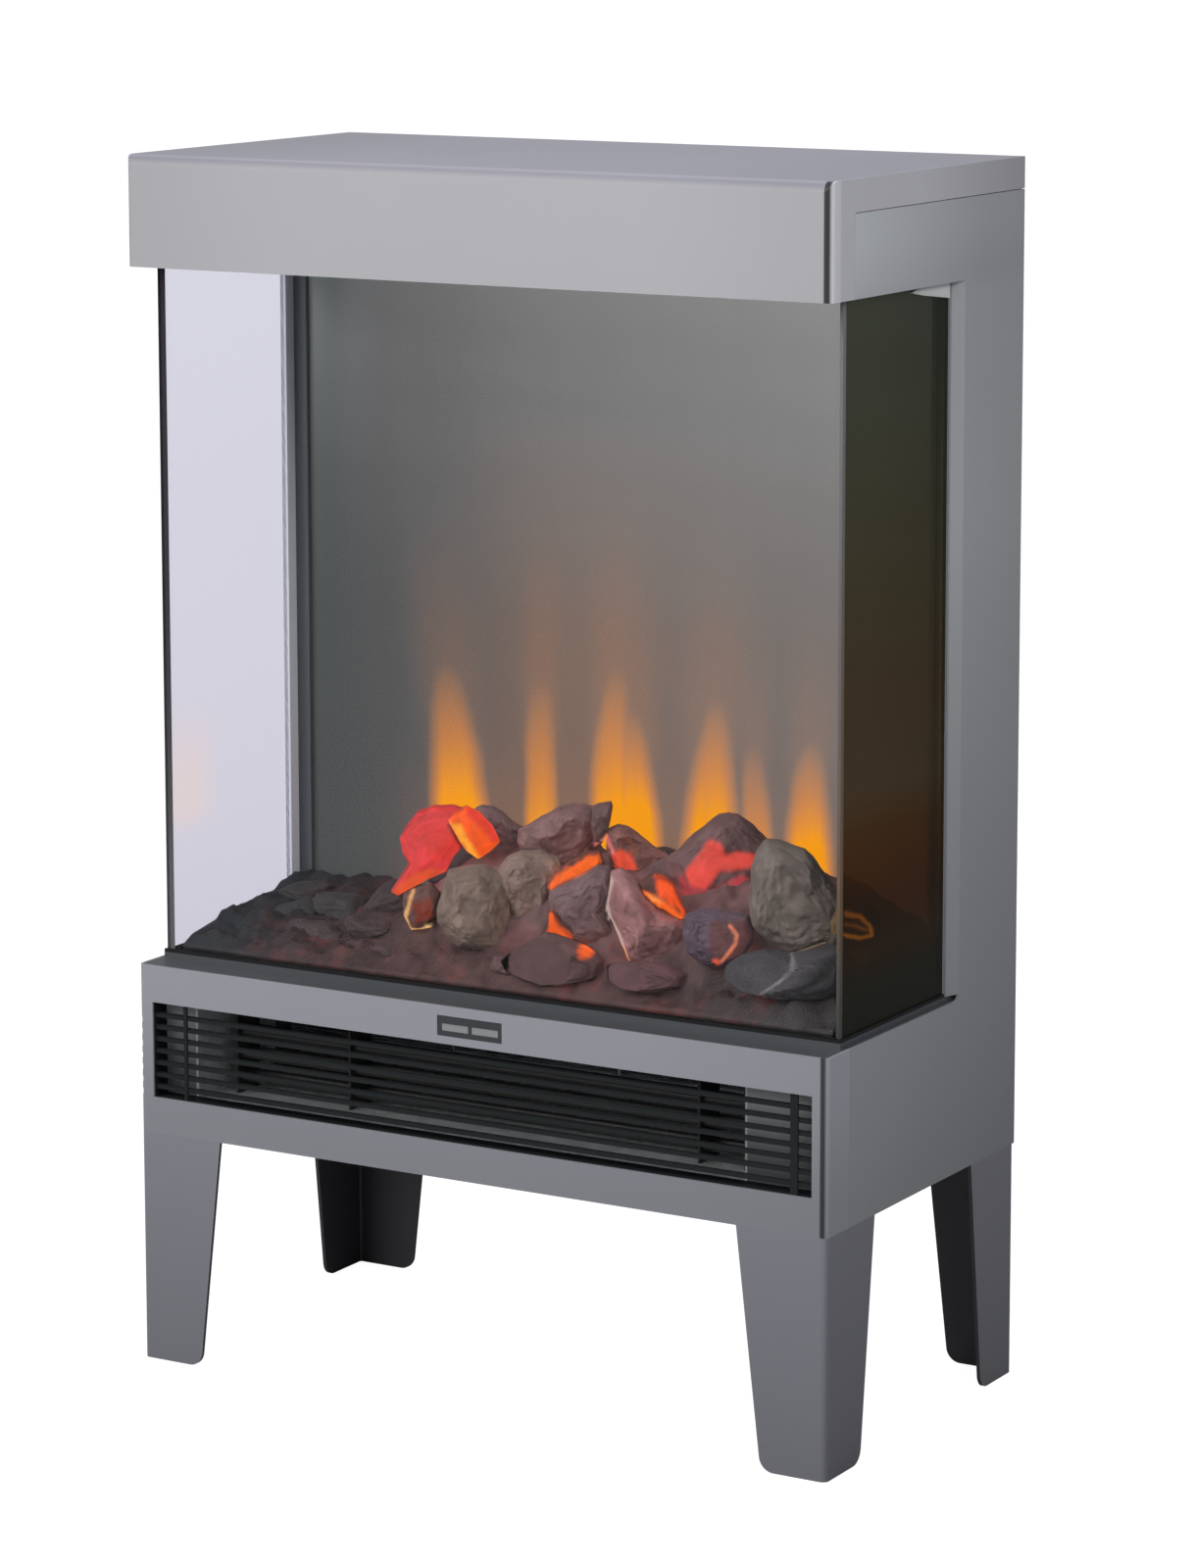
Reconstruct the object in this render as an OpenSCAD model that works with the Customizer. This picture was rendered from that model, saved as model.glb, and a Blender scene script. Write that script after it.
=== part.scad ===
// Free-standing electric fireplace: sheet-steel stove body on four bent-sheet legs,
// glazed on three sides, with a flame-effect screen, a fuel bed and a fan heater in the base.
// Origin at the centre of the footprint on the floor. +X is to the right seen from the
// front, -Y is the front, +Z is up. All lengths in millimetres.

/* [Casing] */
// Width over the side panels
case_w = 404; // [402:1:408]
// Depth from the front face to the rear flanges
case_d = 206; // [206:1:210]
// Height of the top cover above the floor
case_h = 630; // [620:1:640]
// Height of the hood
hood_h = 57; // [55:1:60]
// Height of the base box
base_h = 89; // [88:1:90]
// Height of the legs under the base box
leg_h = 122; // [118:1:126]
// Thickness of the casing sheet
sheet = 1.2; // [1.0:0.1:1.4]
// Outside radius of the vertical front corners
corner_r = 3.5; // [3:0.5:5]
// Outside radius of the hood's top front edge
brow_r = 5; // [4:0.5:7]
// Depth of the front panels' side returns
return_d = 23; // [20:1:26]
// Height of the top cover's side skirts below the top face
skirt_h = 16; // [14:1:18]

/* [Glass] */
// Thickness of the panes
glass_t = 3; // [3:0.5:5]
// Setback of the front pane from the front face
glass_setback = 20; // [18:1:22]
// Setback of the side panes from the side faces
glass_side_setback = 4.5; // [4:0.5:5]

/* [Fire chamber] */
// Distance from the front face to the flame screen's frame line
screen_y = 140; // [138:1:142]
// Width of the screen frame's uprights
frame_bar_w = 12.8; // [12:0.2:14]
// Height of the flame screen's top edge above the floor
screen_top = 566; // [560:1:568]

/* [Air outlet] */
// Width of the outlet opening
grille_w = 387; // [380:1:388]
// Lower edge of the outlet opening above the floor
grille_z0 = 141; // [140:0.5:142]
// Height of the outlet opening
grille_h = 50.5; // [50:0.5:51]
// Number of slats
slat_n = 7; // [5:1:7]
// Pitch of the slats
slat_pitch = 6.35; // [6.3:0.05:6.5]

/* [Legs] */
// Thickness of the leg sheet
leg_sheet = 2; // [1.5:0.5:2.5]
// Width of each leg face at the top
leg_top_w = 50; // [48:1:52]
// Width of each leg face near the floor
leg_foot_w = 36.9; // [34:0.1:40]
// Radius of the free lower corners
leg_corner_r = 8; // [6:1:10]

/* [Controls] */
// Radius of the thermostat knob
knob_r = 16; // [15:1:17]
// Tilt of a rocker to either side
rocker_tilt = 7; // [5:1:8]
// Radius of the cord passage in the gland
gland_r = 4; // [3.5:0.1:4.5]

/* [Shafts] */
// Radius of the flame spindle's shaft
spindle_r = 2; // [1.8:0.1:2.5]
// Radius of the fan shaft
fan_shaft_r = 3; // [2.5:0.5:3]
// Radial running clearance of every shaft
run_gap = 0.05; // [0.03:0.01:0.08]

/* [Hidden] */
$fn = 48;

xo = case_w / 2;                    // outer face of the sides
yf = -case_d / 2;                   // front face
yb = case_d / 2;                    // rear faces
xi = xo - sheet;                    // inner face of the sides
z_base = leg_h;                     // lower edge of the base box
z_sill = leg_h + base_h;            // upper edge of the base box
z_hood = case_h - hood_h;           // lower edge of the hood
z_seam = case_h - skirt_h;          // lower edge of the top cover's skirts
z_deck = z_sill + 3;                // top of the hearth deck
z_ceil = z_hood + 3;                // underside of the hood liner
ys = yf + return_d + 0.25;          // front edge of the side panels
yw = yf + screen_y;                 // rear edge of the side windows
y_frame = yf + screen_y - 2;        // front of the screen frame
gx = xo - glass_side_setback;       // outer face of the side panes
gy = yf + glass_setback;            // outer face of the front pane
glass_z0 = z_deck + 1.2;            // lower edge of the panes
glass_z1 = z_ceil - 1;              // upper edge of the panes
glass_rear = yw - 9.5;              // rear edge of the side panes
fr_x = gx - 0.1;                    // outer edge of the screen frame
fr_in = fr_x - frame_bar_w;         // inner edge of the screen frame
grille_z1 = grille_z0 + grille_h;
slat_z = [for (i = [0:slat_n - 1]) grille_z1 - 7 - i * slat_pitch];
y_plate = yf + 12.8;                // plates and duct behind the grille
duct_x = 163.2;                     // half width of the heater duct
heat_x = -12;                       // offset of the fan heater from the middle
fan_z = (grille_z0 + grille_z1) / 2;
fan_ro = grille_h / 2 + 2;          // outer radius of the fan housing
spin_y = 66;                        // flame spindle axis
spin_z = z_deck + 28;
spin_x = 152;                       // outer face of the spindle brackets
y_back = yb - 2 * sheet;            // inner face of the back panel
rec_x0 = -152; rec_x1 = -56;        // control recess
rec_z0 = z_base + 12; rec_z1 = z_base + 82;
rec_d = 18;
y_ctl = y_back - rec_d;             // front of the recess floor
ctl_z = z_base + 47;
knob_x = -77;
rocker_x = [-140, -122, -104];      // flame, low heat, high heat
gland_x = 150;
gland_z = z_base + 20;
leg_screw_u = 37;
leg_screw_v = 7.2;

// ---------- helpers ----------

// box between two opposite corners
module box(a, b) {
  translate(a) cube([b[0] - a[0], b[1] - a[1], b[2] - a[2]]);
}

// rod along X from x0 to x1
module rod_x(x0, x1, y, z, r) {
  translate([x0, y, z]) rotate([0, 90, 0]) cylinder(r = r, h = x1 - x0);
}

// rod along Y from y0 to y1
module rod_y(x, y0, y1, z, r) {
  translate([x, y0, z]) rotate([-90, 0, 0]) cylinder(r = r, h = y1 - y0);
}

// a (y, z) outline extruded along X from x0 to x1
module along_x(x0, x1) {
  translate([x0, 0, 0]) rotate([90, 0, 90]) linear_extrude(x1 - x0) children();
}

// casing outline in plan, front corners rounded, inset by i
module plan(i, r) {
  translate([-xo + i, yf + i + r]) square([2 * (xo - i), case_d - 2 * i - r]);
  translate([-xo + i + r, yf + i]) square([2 * (xo - i - r), 2 * r]);
  for (s = [-1, 1]) translate([s * (xo - i - r), yf + i + r]) circle(r);
}

// (y, z) section of the hood, top front edge rounded
module brow(i, r, z0) {
  translate([yf + i, z0]) square([case_d - 2 * i, case_h - i - r - z0]);
  translate([yf + i + r, z0]) square([case_d - 2 * i - r, case_h - i - z0]);
  translate([yf + i + r, case_h - i - r]) circle(r);
}

module hood_solid(i, rc, rb, z0) {
  intersection() {
    translate([0, 0, z0]) linear_extrude(case_h - i - z0) plan(i, rc);
    along_x(-xo - 1, xo + 1) brow(i, rb, z0);
  }
}

// row of straight slots for vents, centred on x, in a sheet square to Y
module vent_rows(x, z, n, m, w, h, px, pz, y0, y1) {
  for (a = [0:n - 1], b = [0:m - 1])
    box([x + (a - (n - 1) / 2) * px - w / 2, y0, z + (b - (m - 1) / 2) * pz - h / 2],
        [x + (a - (n - 1) / 2) * px + w / 2, y1, z + (b - (m - 1) / 2) * pz + h / 2]);
}

// places its children at the leg screws
module at_leg_screws() {
  for (sx = [-1, 1], sy = [-1, 1]) {
    translate([sx * (xo - leg_screw_u), sy * (yb - leg_screw_v), 0]) children();
    translate([sx * (xo - leg_screw_v), sy * (yb - leg_screw_u), 0]) children();
  }
}

casing_screw_z = [z_base + 25, 260, 400, 540];
cover_screw_x = [-150, 0, 150];

// ---------- casing ----------

module top_cover() {
  color([0.60, 0.60, 0.64]) union() {
    difference() {
      hood_solid(0, corner_r, brow_r, z_hood);
      hood_solid(sheet, corner_r - sheet, brow_r - sheet, z_hood - 1);
      box([-xo - 1, yf + return_d, z_hood - 1], [xo + 1, yb + 1, z_seam]);
      for (x = cover_screw_x)
        translate([x, yb - sheet, z_seam + 6]) rotate([-90, 0, 0])
          cylinder(r1 = 2, r2 = 3.6, h = sheet);
    }
    // lower flange of the hood front
    box([-xi + 2, yf + sheet, z_hood], [xi - 2, yf + sheet + 10, z_hood + sheet]);
  }
}

module hood_liner() {
  color([0.45, 0.46, 0.48]) union() {
    box([-xi, yf + 3, z_ceil], [xi, yw + 3, z_ceil + sheet]);
    box([-xi, yw + 3 - sheet, z_ceil + sheet], [xi, yw + 3, z_ceil + 24]);
  }
}

// right-hand side panel: a C-shaped sheet with folded edges
module side_panel() {
  top = z_seam - 0.4;
  difference() {
    union() {
      along_x(xi, xo) union() {
        difference() {
          translate([ys, z_base]) square([yb - ys, top - z_base]);
          translate([ys - 1, z_sill]) square([yw - ys + 1, z_hood - z_sill]);
        }
        // filleted lower corner of the window
        difference() {
          translate([yw - 4, z_sill]) square([4.5, 4]);
          translate([yw - 4, z_sill + 4]) circle(4);
        }
      }
      // rear flange
      box([xo - 14, yb - sheet, z_base], [xi, yb, top]);
      // joggled return beside the pane
      translate([0, 0, z_deck]) linear_extrude(z_hood - z_deck)
        polygon([[xo, yw], [xo - 3.3, yw - 8], [xo - 4.3, yw - 8], [xo - 4.3, yw - 7.4],
                 [xi, yw + 1.2], [xi + 0.2, yw + 1.2]]);
      // lower flange of the upper arm
      box([gx + 0.5, ys, z_hood], [xi, yw, z_hood + sheet]);
      // floor flange
      box([xi - 12, ys, z_base], [xi, y_back, z_base + sheet]);
    }
    at_leg_screws() translate([0, 0, z_base - 1]) cylinder(r = 2.2, h = 4);
    for (z = casing_screw_z)
      translate([xo - 7, yb - sheet, z]) rotate([-90, 0, 0]) cylinder(r1 = 2, r2 = 3.6, h = sheet);
  }
}

module right_side_panel() { color([0.46, 0.47, 0.50]) side_panel(); }
module left_side_panel() { color([0.46, 0.47, 0.50]) mirror([1, 0, 0]) side_panel(); }

module back_panel() {
  color([0.40, 0.41, 0.43]) difference() {
    union() {
      box([-xi, y_back, z_base], [xi, y_back + sheet, case_h - 6]);
      box([-xi + 12.4, y_back - 12, z_base], [xi - 12.4, y_back, z_base + sheet]);
    }
    box([rec_x0, y_back - 1, rec_z0], [rec_x1, yb, rec_z1]);
    at_leg_screws() translate([0, 0, z_base - 1]) cylinder(r = 2.2, h = 4);
    for (sx = [-1, 1], z = casing_screw_z) rod_y(sx * (xo - 7), y_back - 1, yb, z, 2);
    for (x = cover_screw_x) rod_y(x, y_back - 1, yb, z_seam + 6, 2);
    rod_y(gland_x, y_back - 1, yb, gland_z, 7.5);
    // warm-air vents behind the screen, and the fan's intake
    vent_rows(0, z_hood - 12, 8, 3, 30, 5, 40, 12, y_back - 1, yb);
    vent_rows(38, z_base + 48, 4, 6, 30, 4, 40, 10, y_back - 1, yb);
  }
}

module base_front_panel() {
  color([0.52, 0.53, 0.57]) difference() {
    union() {
      difference() {
        translate([0, 0, z_base]) linear_extrude(base_h) difference() {
          plan(0, corner_r);
          plan(sheet, corner_r - sheet);
        }
        box([-xo - 1, yf + return_d, z_base - 1], [xo + 1, yb + 1, z_sill + 1]);
      }
      box([-xi + 2, yf + sheet, z_base], [xi - 2, yf + sheet + 12, z_base + sheet]);
    }
    box([-grille_w / 2, yf - 1, grille_z0], [grille_w / 2, yf + sheet + 1, grille_z1]);
    box([-19, yf - 1, z_sill - 15.5], [19, yf + sheet + 1, z_sill - 5]);
    // intake slots round the left-hand corner, in line with the gaps between the slats
    for (z = slat_z)
      box([-xo - 1, yf - 1, z - slat_pitch / 2 - 1.6], [-xo + 1.6, yf + 17, z - slat_pitch / 2 + 1.6]);
    at_leg_screws() translate([0, 0, z_base - 1]) cylinder(r = 2.2, h = 4);
  }
}

module base_floor() {
  color([0.36, 0.37, 0.39]) difference() {
    intersection() {
      translate([0, 0, z_base + sheet]) linear_extrude(sheet) plan(sheet, corner_r - sheet);
      box([-xo, yf, z_base], [xo, y_back, z_base + 10]);
    }
    at_leg_screws() translate([0, 0, z_base]) cylinder(r = 2, h = 4);
    for (a = [-3:3], b = [0:2])
      box([a * 40 - 15, 42 + b * 10, z_base], [a * 40 + 15, 46 + b * 10, z_base + 4]);
  }
}

// flat rim round a raised platform that carries the glass and the fire
module hearth_deck() {
  px = gx + 1.2;
  py = gy - 1.2;
  color([0.25, 0.27, 0.28]) difference() {
    intersection() {
      union() {
        translate([0, 0, z_sill - sheet]) linear_extrude(sheet) plan(sheet, corner_r - sheet);
        box([-px, py, z_sill - sheet], [px, y_back, z_deck]);
      }
      box([-xo, yf, z_base], [xo, y_back, z_deck]);
    }
    box([-px + sheet, py + sheet, z_sill - 3], [px - sheet, yb, z_deck - sheet]);
  }
}

module outlet_grille() {
  color([0.09, 0.10, 0.11]) union() {
    // surround
    difference() {
      box([-grille_w / 2 - 2, yf + sheet, grille_z0 - 2], [grille_w / 2 + 2, y_plate, grille_z1 + 2]);
      box([-grille_w / 2, yf, grille_z0], [grille_w / 2, y_plate + 1, grille_z1]);
    }
    // slats with a sloping top
    for (z = slat_z)
      along_x(-grille_w / 2, grille_w / 2)
        polygon([[yf + 2, z - 1.15], [yf + 2, z + 0.9], [yf + 4.6, z + 1.15], [yf + 4.6, z - 1.15]]);
    // uprights
    box([-175, yf + 1.4, grille_z0], [-173, yf + 2.6, grille_z1]);
    box([181, yf + 1.4, grille_z0], [185, yf + 2.6, grille_z1]);
  }
}

module outlet_side_plates() {
  color([0.42, 0.44, 0.45])
    union() {
      box([heat_x + duct_x, y_plate, z_base + 2 * sheet], [xi, y_plate + sheet, z_sill - 2]);
      box([-xi, y_plate, z_base + 2 * sheet], [heat_x - duct_x, y_plate + sheet, z_sill - 2]);
    }
}

module indicator_bezel() {
  color([0.20, 0.21, 0.22]) difference() {
    box([-19, yf + 0.3, z_sill - 15.5], [19, yf + 5, z_sill - 5]);
    for (s = [-1, 1]) box([s * 8.75 - 7.85, yf, z_sill - 12.8], [s * 8.75 + 7.85, yf + 6, z_sill - 9]);
  }
}

module indicator_lenses() {
  color([0.75, 0.77, 0.76])
    for (s = [-1, 1]) box([s * 8.75 - 7.85, yf + 0.7, z_sill - 12.8], [s * 8.75 + 7.85, yf + 4.5, z_sill - 9]);
}

// ---------- glazing ----------

module front_glass() {
  color([0.55, 0.60, 0.60, 0.35])
    box([-gx, gy, glass_z0], [gx, gy + glass_t, glass_z1]);
}

module side_pane() {
  box([gx - glass_t, gy + glass_t, glass_z0], [gx, glass_rear, glass_z1]);
}

module right_glass() { color([0.30, 0.32, 0.28, 0.45]) side_pane(); }
module left_glass() { color([0.80, 0.80, 0.85, 0.40]) mirror([1, 0, 0]) side_pane(); }

// channel round three sides of the chamber, between z0 and z1
module glass_channel(z0, z1) {
  lip = 1.2;
  difference() {
    box([-gx - lip, gy - lip, z0], [gx + lip, glass_rear, z1]);
    box([-gx + glass_t + lip, gy + glass_t + lip, z0 - 1], [gx - glass_t - lip, glass_rear + 1, z1 + 1]);
    box([-gx, gy, glass_z0], [gx, gy + glass_t, glass_z1]);
    for (s = [0, 1]) mirror([s, 0, 0]) side_pane();
  }
}

module glass_foot_channel() { color([0.05, 0.05, 0.05]) glass_channel(z_deck, z_deck + 1.6); }
module glass_head_channel() { color([0.05, 0.05, 0.05]) glass_channel(z_hood + sheet, z_ceil); }

module rear_glass_seals() {
  color([0.06, 0.06, 0.06])
    for (s = [0, 1]) mirror([s, 0, 0])
      box([gx - glass_t - 1.2, glass_rear, z_deck], [gx, y_frame, z_hood + sheet]);
}

// ---------- flame effect ----------

module flame_screen() {
  color([0.42, 0.41, 0.40])
    box([-fr_in, y_frame + 2, z_deck + 8], [fr_in, y_frame + 5, screen_top]);
}

module screen_frame() {
  color([0.16, 0.17, 0.18]) union() {
    for (s = [0, 1]) mirror([s, 0, 0]) {
      box([fr_in, y_frame, z_deck], [fr_x, y_frame + 5, screen_top]);
      box([fr_in, y_frame - 1.2, z_deck], [fr_in + 2.6, y_frame, screen_top]);
    }
    box([-fr_in, y_frame, z_deck], [fr_in, y_frame + 5, z_deck + 8]);
  }
}

module screen_top_bracket() {
  color([0.85, 0.86, 0.87]) union() {
    box([-fr_x, y_frame + 2, screen_top], [fr_x, y_frame + 3.2, z_ceil]);
    box([-fr_x, y_frame + 3.2, z_ceil - sheet], [fr_x, y_frame + 12, z_ceil]);
  }
}

bed_x = gx - glass_t - 1.8;
bed_y0 = gy + glass_t + 1.8;
bed_y1 = y_frame - 1.6;
bed_z0 = 4.5;
bed_slope = 0.155;
// height of the fuel bed's top face above the floor
function bed_top(y) = z_deck + bed_z0 + (y - bed_y0) * bed_slope;

module fuel_bed() {
  color([0.24, 0.15, 0.13]) difference() {
    along_x(-bed_x, bed_x)
      polygon([[bed_y0, z_deck], [bed_y0, bed_top(bed_y0)], [bed_y1, bed_top(bed_y1)], [bed_y1, z_deck]]);
    along_x(-150, 150)
      polygon([[-30, z_deck - 1], [-30, bed_top(-30) - 2.4], [20, bed_top(20) - 2.4], [20, z_deck - 1]]);
  }
}

// irregular lump whose flat underside lies on the fuel bed
module coal(c, r, seed) {
  n = 11; m = 7;
  pts = [for (j = [1:m - 1]) for (i = [0:n - 1])
    let (a = 360 * i / n + 14 * sin(seed * 57 + j * 40), b = -90 + 180 * j / m,
         k = 1 + 0.07 * sin(seed * 97 + i * 131 + j * 71) + 0.05 * sin(seed * 41 + i * 53 - j * 89),
         x = c[0] + r[0] * k * cos(a) * cos(b), y = c[1] + r[1] * k * sin(a) * cos(b),
         z = c[2] + r[2] * k * sin(b))
    [x, y, max(z, bed_top(y))]];
  low = [c[0], c[1], bed_top(c[1])];
  high = [c[0], c[1], c[2] + r[2] * (0.98 + 0.06 * sin(seed * 31))];
  all = concat(pts, [low, high]);
  faces = concat(
    [for (j = [0:m - 3]) for (i = [0:n - 1]) [j * n + i, j * n + (i + 1) % n, (j + 1) * n + (i + 1) % n]],
    [for (j = [0:m - 3]) for (i = [0:n - 1]) [j * n + i, (j + 1) * n + (i + 1) % n, (j + 1) * n + i]],
    [for (i = [0:n - 1]) [i, (n - 1) * 0 + len(pts), (i + 1) % n]],
    [for (i = [0:n - 1]) [(m - 2) * n + i, (m - 2) * n + (i + 1) % n, len(pts) + 1]]);
  polyhedron(points = all, faces = [for (f = faces) [f[2], f[1], f[0]]], convexity = 4);
}

coal_list = [
  // [x, y, half width, half depth, height above the bed]
  [-70, -28, 16, 14, 70], [-39, -16, 11, 14, 70], [2, -8, 18, 12.5, 72], [38, -18, 12.5, 13, 76], [94, -14, 21, 17, 78],
  [154, -40, 21, 16, 80], [-28, -57, 16, 12.5, 51], [-4, -40, 12.5, 11.5, 57], [72, -48, 16, 14, 58], [36, -51, 14, 13, 56],
  [113, -60, 13, 12.5, 45], [165, -67.5, 17, 7.5, 24], [-66, -56, 11.5, 10, 35], [-98, -50, 12.5, 12, 20], [-128, -40, 13.5, 12, 12],
  [-106, -10, 13, 14, 27], [-134, -8, 12, 12.5, 11], [-162, -16, 12, 12.5, 10], [158, 6, 16, 13, 41], [125, 8, 10, 12, 51],
  [60, 14, 15, 10, 44], [-8, 16, 17, 8.5, 46], [-74, 12, 17, 11, 42]];

module coals() {
  color([0.34, 0.30, 0.32])
    for (i = [0:len(coal_list) - 1])
      let (k = coal_list[i], zb = bed_top(k[1]))
        coal([k[0], k[1], zb + k[4] * 0.38], [k[2], k[3], k[4] * 0.60], i + 1);
}

// strip board with a row of lamps, between two corners
module led_board(x, y0, y1, z, n) {
  box([-x, y0, z], [x, y1, z + 1.6]);
  for (i = [0:n - 1])
    let (cx = -x + (i + 0.5) * 2 * x / n)
      box([cx - 2.5, (y0 + y1) / 2 - 2.5, z + 1.6], [cx + 2.5, (y0 + y1) / 2 + 2.5, z + 3]);
}

module ember_led_board() { color([0.10, 0.35, 0.18]) led_board(140, -12, 8, z_deck, 10); }
module flame_led_board() { color([0.10, 0.35, 0.18]) led_board(136, 50, 64, z_deck, 12); }

module flame_mask() {
  y0 = y_frame + 8;
  color([0.15, 0.15, 0.16]) difference() {
    box([-150, y0, z_deck], [150, y0 + sheet, z_deck + 120]);
    for (i = [-2:2])
      translate([i * 54, y0 - 1, 0]) rotate([90, 0, 0]) mirror([0, 0, 1]) linear_extrude(4)
        polygon([[-14, z_deck + 18], [14, z_deck + 18], [17, z_deck + 40], [7, z_deck + 72],
                 [1 + 2 * i, z_deck + 108], [-8, z_deck + 70], [-16, z_deck + 42]]);
  }
}

module flame_spindle() {
  color([0.82, 0.83, 0.84]) union() {
    rod_x(-spin_x - 6, spin_x + 9.5, spin_y, spin_z, spindle_r);
    for (i = [0:11])
      translate([-132 + i * 24, spin_y, spin_z]) rotate([i * 37, 0, 0])
        cube([16, 30, 0.8], center = true);
  }
}

module spindle_brackets() {
  color([0.75, 0.76, 0.77])
    for (s = [0, 1]) mirror([s, 0, 0]) difference() {
      union() {
        box([spin_x - sheet, spin_y - 16, z_deck], [spin_x, spin_y + 16, spin_z + 14]);
        box([spin_x - 12, spin_y - 16, z_deck], [spin_x - sheet, spin_y + 16, z_deck + sheet]);
      }
      rod_x(spin_x - 4, spin_x + 1, spin_y, spin_z, 5);
    }
}

module spindle_bushes() {
  color([0.9, 0.9, 0.86])
    for (s = [0, 1]) mirror([s, 0, 0]) difference() {
      union() {
        rod_x(spin_x - 4, spin_x, spin_y, spin_z, 5);
        rod_x(spin_x - 4, spin_x - sheet, spin_y, spin_z, 7);
      }
      rod_x(spin_x - 6, spin_x + 1, spin_y, spin_z, spindle_r + run_gap);
    }
}

module spindle_motor() {
  color([0.62, 0.63, 0.65]) difference() {
    union() {
      rod_x(spin_x, spin_x + 15, spin_y, spin_z, 21);
      box([spin_x, spin_y - 10, spin_z - 27], [spin_x + 12, spin_y + 10, spin_z]);
    }
    rod_x(spin_x - 1, spin_x + 10, spin_y, spin_z, spindle_r + run_gap);
  }
}

// ---------- fan heater ----------

module heater_duct() {
  color([0.12, 0.12, 0.13]) translate([heat_x, 0, 0]) difference() {
    box([-duct_x, y_plate, grille_z0 - 2], [duct_x, -20, grille_z1 + 2]);
    box([-duct_x + sheet, y_plate - 1, grille_z0 - 2 + sheet], [duct_x - sheet, -19, grille_z1 + 2 - sheet]);
  }
}

card_x = [-150, -80, 126, 152];
module heating_element() {
  z0 = grille_z0 - 2 + sheet;
  z1 = grille_z1 + 2 - sheet;
  color([0.72, 0.66, 0.52]) translate([heat_x, 0, 0]) {
    for (x = card_x) box([x - 0.6, -72, z0], [x + 0.6, -52, z1]);
    for (a = [0:3], y = [-67, -57]) rod_x(card_x[0], card_x[3], y, z0 + 8 + a * 12, 2.2);
  }
}

module thermal_cutout() {
  z0 = grille_z1 + 2;
  color([0.85, 0.82, 0.72]) translate([heat_x, 0, 0]) {
    translate([90, -50, z0]) cylinder(r = 8, h = 5);
    box([78, -54, z0], [102, -46, z0 + 1]);
    for (s = [-1, 1]) box([90 + s * 4 - 1.5, -50.4, z0 + 5], [90 + s * 4 + 1.5, -49.6, z0 + 12]);
  }
}

// (y, z) outline of the fan housing's inside or outside
module scroll(r) {
  translate([0, fan_z]) circle(r);
  translate([-20, fan_z - r]) square([20, 2 * r]);
}

module fan_housing() {
  color([0.70, 0.71, 0.72]) translate([heat_x, 0, 0]) difference() {
    along_x(-duct_x + 0.8, duct_x - 0.8) intersection() {
      scroll(fan_ro);
      translate([-20, 0]) square([100, 400]);
    }
    along_x(-duct_x + 2, duct_x - 2) union() {
      scroll(fan_ro - sheet);
      translate([-30, fan_z - fan_ro + sheet]) square([11, 2 * (fan_ro - sheet)]);
    }
    // intake along the rear
    box([-150, 10, fan_z - 13], [150, 40, fan_z + 13]);
    rod_x(-duct_x - 1, duct_x + 1, 0, fan_z, 6);
  }
}

module fan_impeller() {
  color([0.80, 0.81, 0.83]) translate([heat_x, 0, 0]) {
    rod_x(-170, 178, 0, fan_z, fan_shaft_r);
    for (x = [-150, -50, 50, 148.5]) rod_x(x, x + 1.5, 0, fan_z, 21);
    for (i = [0:17])
      translate([0, 0, fan_z]) rotate([i * 20, 0, 0]) translate([0, 17.4, 0]) rotate([35, 0, 0])
        translate([-150, -2.4, -0.4]) cube([300, 4.8, 0.8]);
  }
}

module fan_bearing() {
  color([0.72, 0.58, 0.30]) translate([heat_x, 0, 0]) difference() {
    union() {
      rod_x(-duct_x - 5, -duct_x + 2, 0, fan_z, 6);
      rod_x(-duct_x - 1.2, -duct_x + 0.8, 0, fan_z, 9);
    }
    rod_x(-180, -150, 0, fan_z, fan_shaft_r + run_gap);
  }
}

module fan_motor() {
  x0 = duct_x - 0.8;
  color([0.55, 0.56, 0.58]) translate([heat_x, 0, 0]) difference() {
    union() {
      rod_x(x0 - 1.2, x0, 0, fan_z, 6);
      rod_x(x0, x0 + 4, 0, fan_z, 14);
      box([x0 + 4, -20, fan_z - 20], [x0 + 22, 20, fan_z + 20]);
      box([x0 + 6, 20, fan_z - 12], [x0 + 20, 34, fan_z + 12]);
      rod_x(x0 + 22, x0 + 26, 0, fan_z, 12);
    }
    rod_x(x0 - 2, 180, 0, fan_z, fan_shaft_r + run_gap);
  }
}

// ---------- controls ----------

module control_plate() {
  color([0.14, 0.14, 0.15]) difference() {
    union() {
      box([rec_x0 - sheet, y_ctl, rec_z0 - sheet], [rec_x1 + sheet, y_back, rec_z1 + sheet]);
      box([rec_x0 - 8, y_back - sheet, rec_z0 - 8], [rec_x1 + 8, y_back, rec_z1 + 5]);
    }
    box([rec_x0, y_ctl + sheet, rec_z0], [rec_x1, y_back + 1, rec_z1]);
    rod_y(knob_x, y_ctl - 1, y_back, ctl_z, 5);
    for (x = rocker_x) box([x - 6.5, y_ctl - 1, ctl_z - 10.5], [x + 6.5, y_ctl + 2, ctl_z + 10.5]);
  }
}

module thermostat_body() {
  color([0.80, 0.79, 0.74]) difference() {
    union() {
      rod_y(knob_x, y_ctl - 18, y_ctl, ctl_z, 15);
      rod_y(knob_x, y_ctl, y_ctl + 2.6, ctl_z, 5);
    }
    rod_y(knob_x, y_ctl - 14, y_ctl + 4, ctl_z, 3 + run_gap);
  }
}

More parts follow.
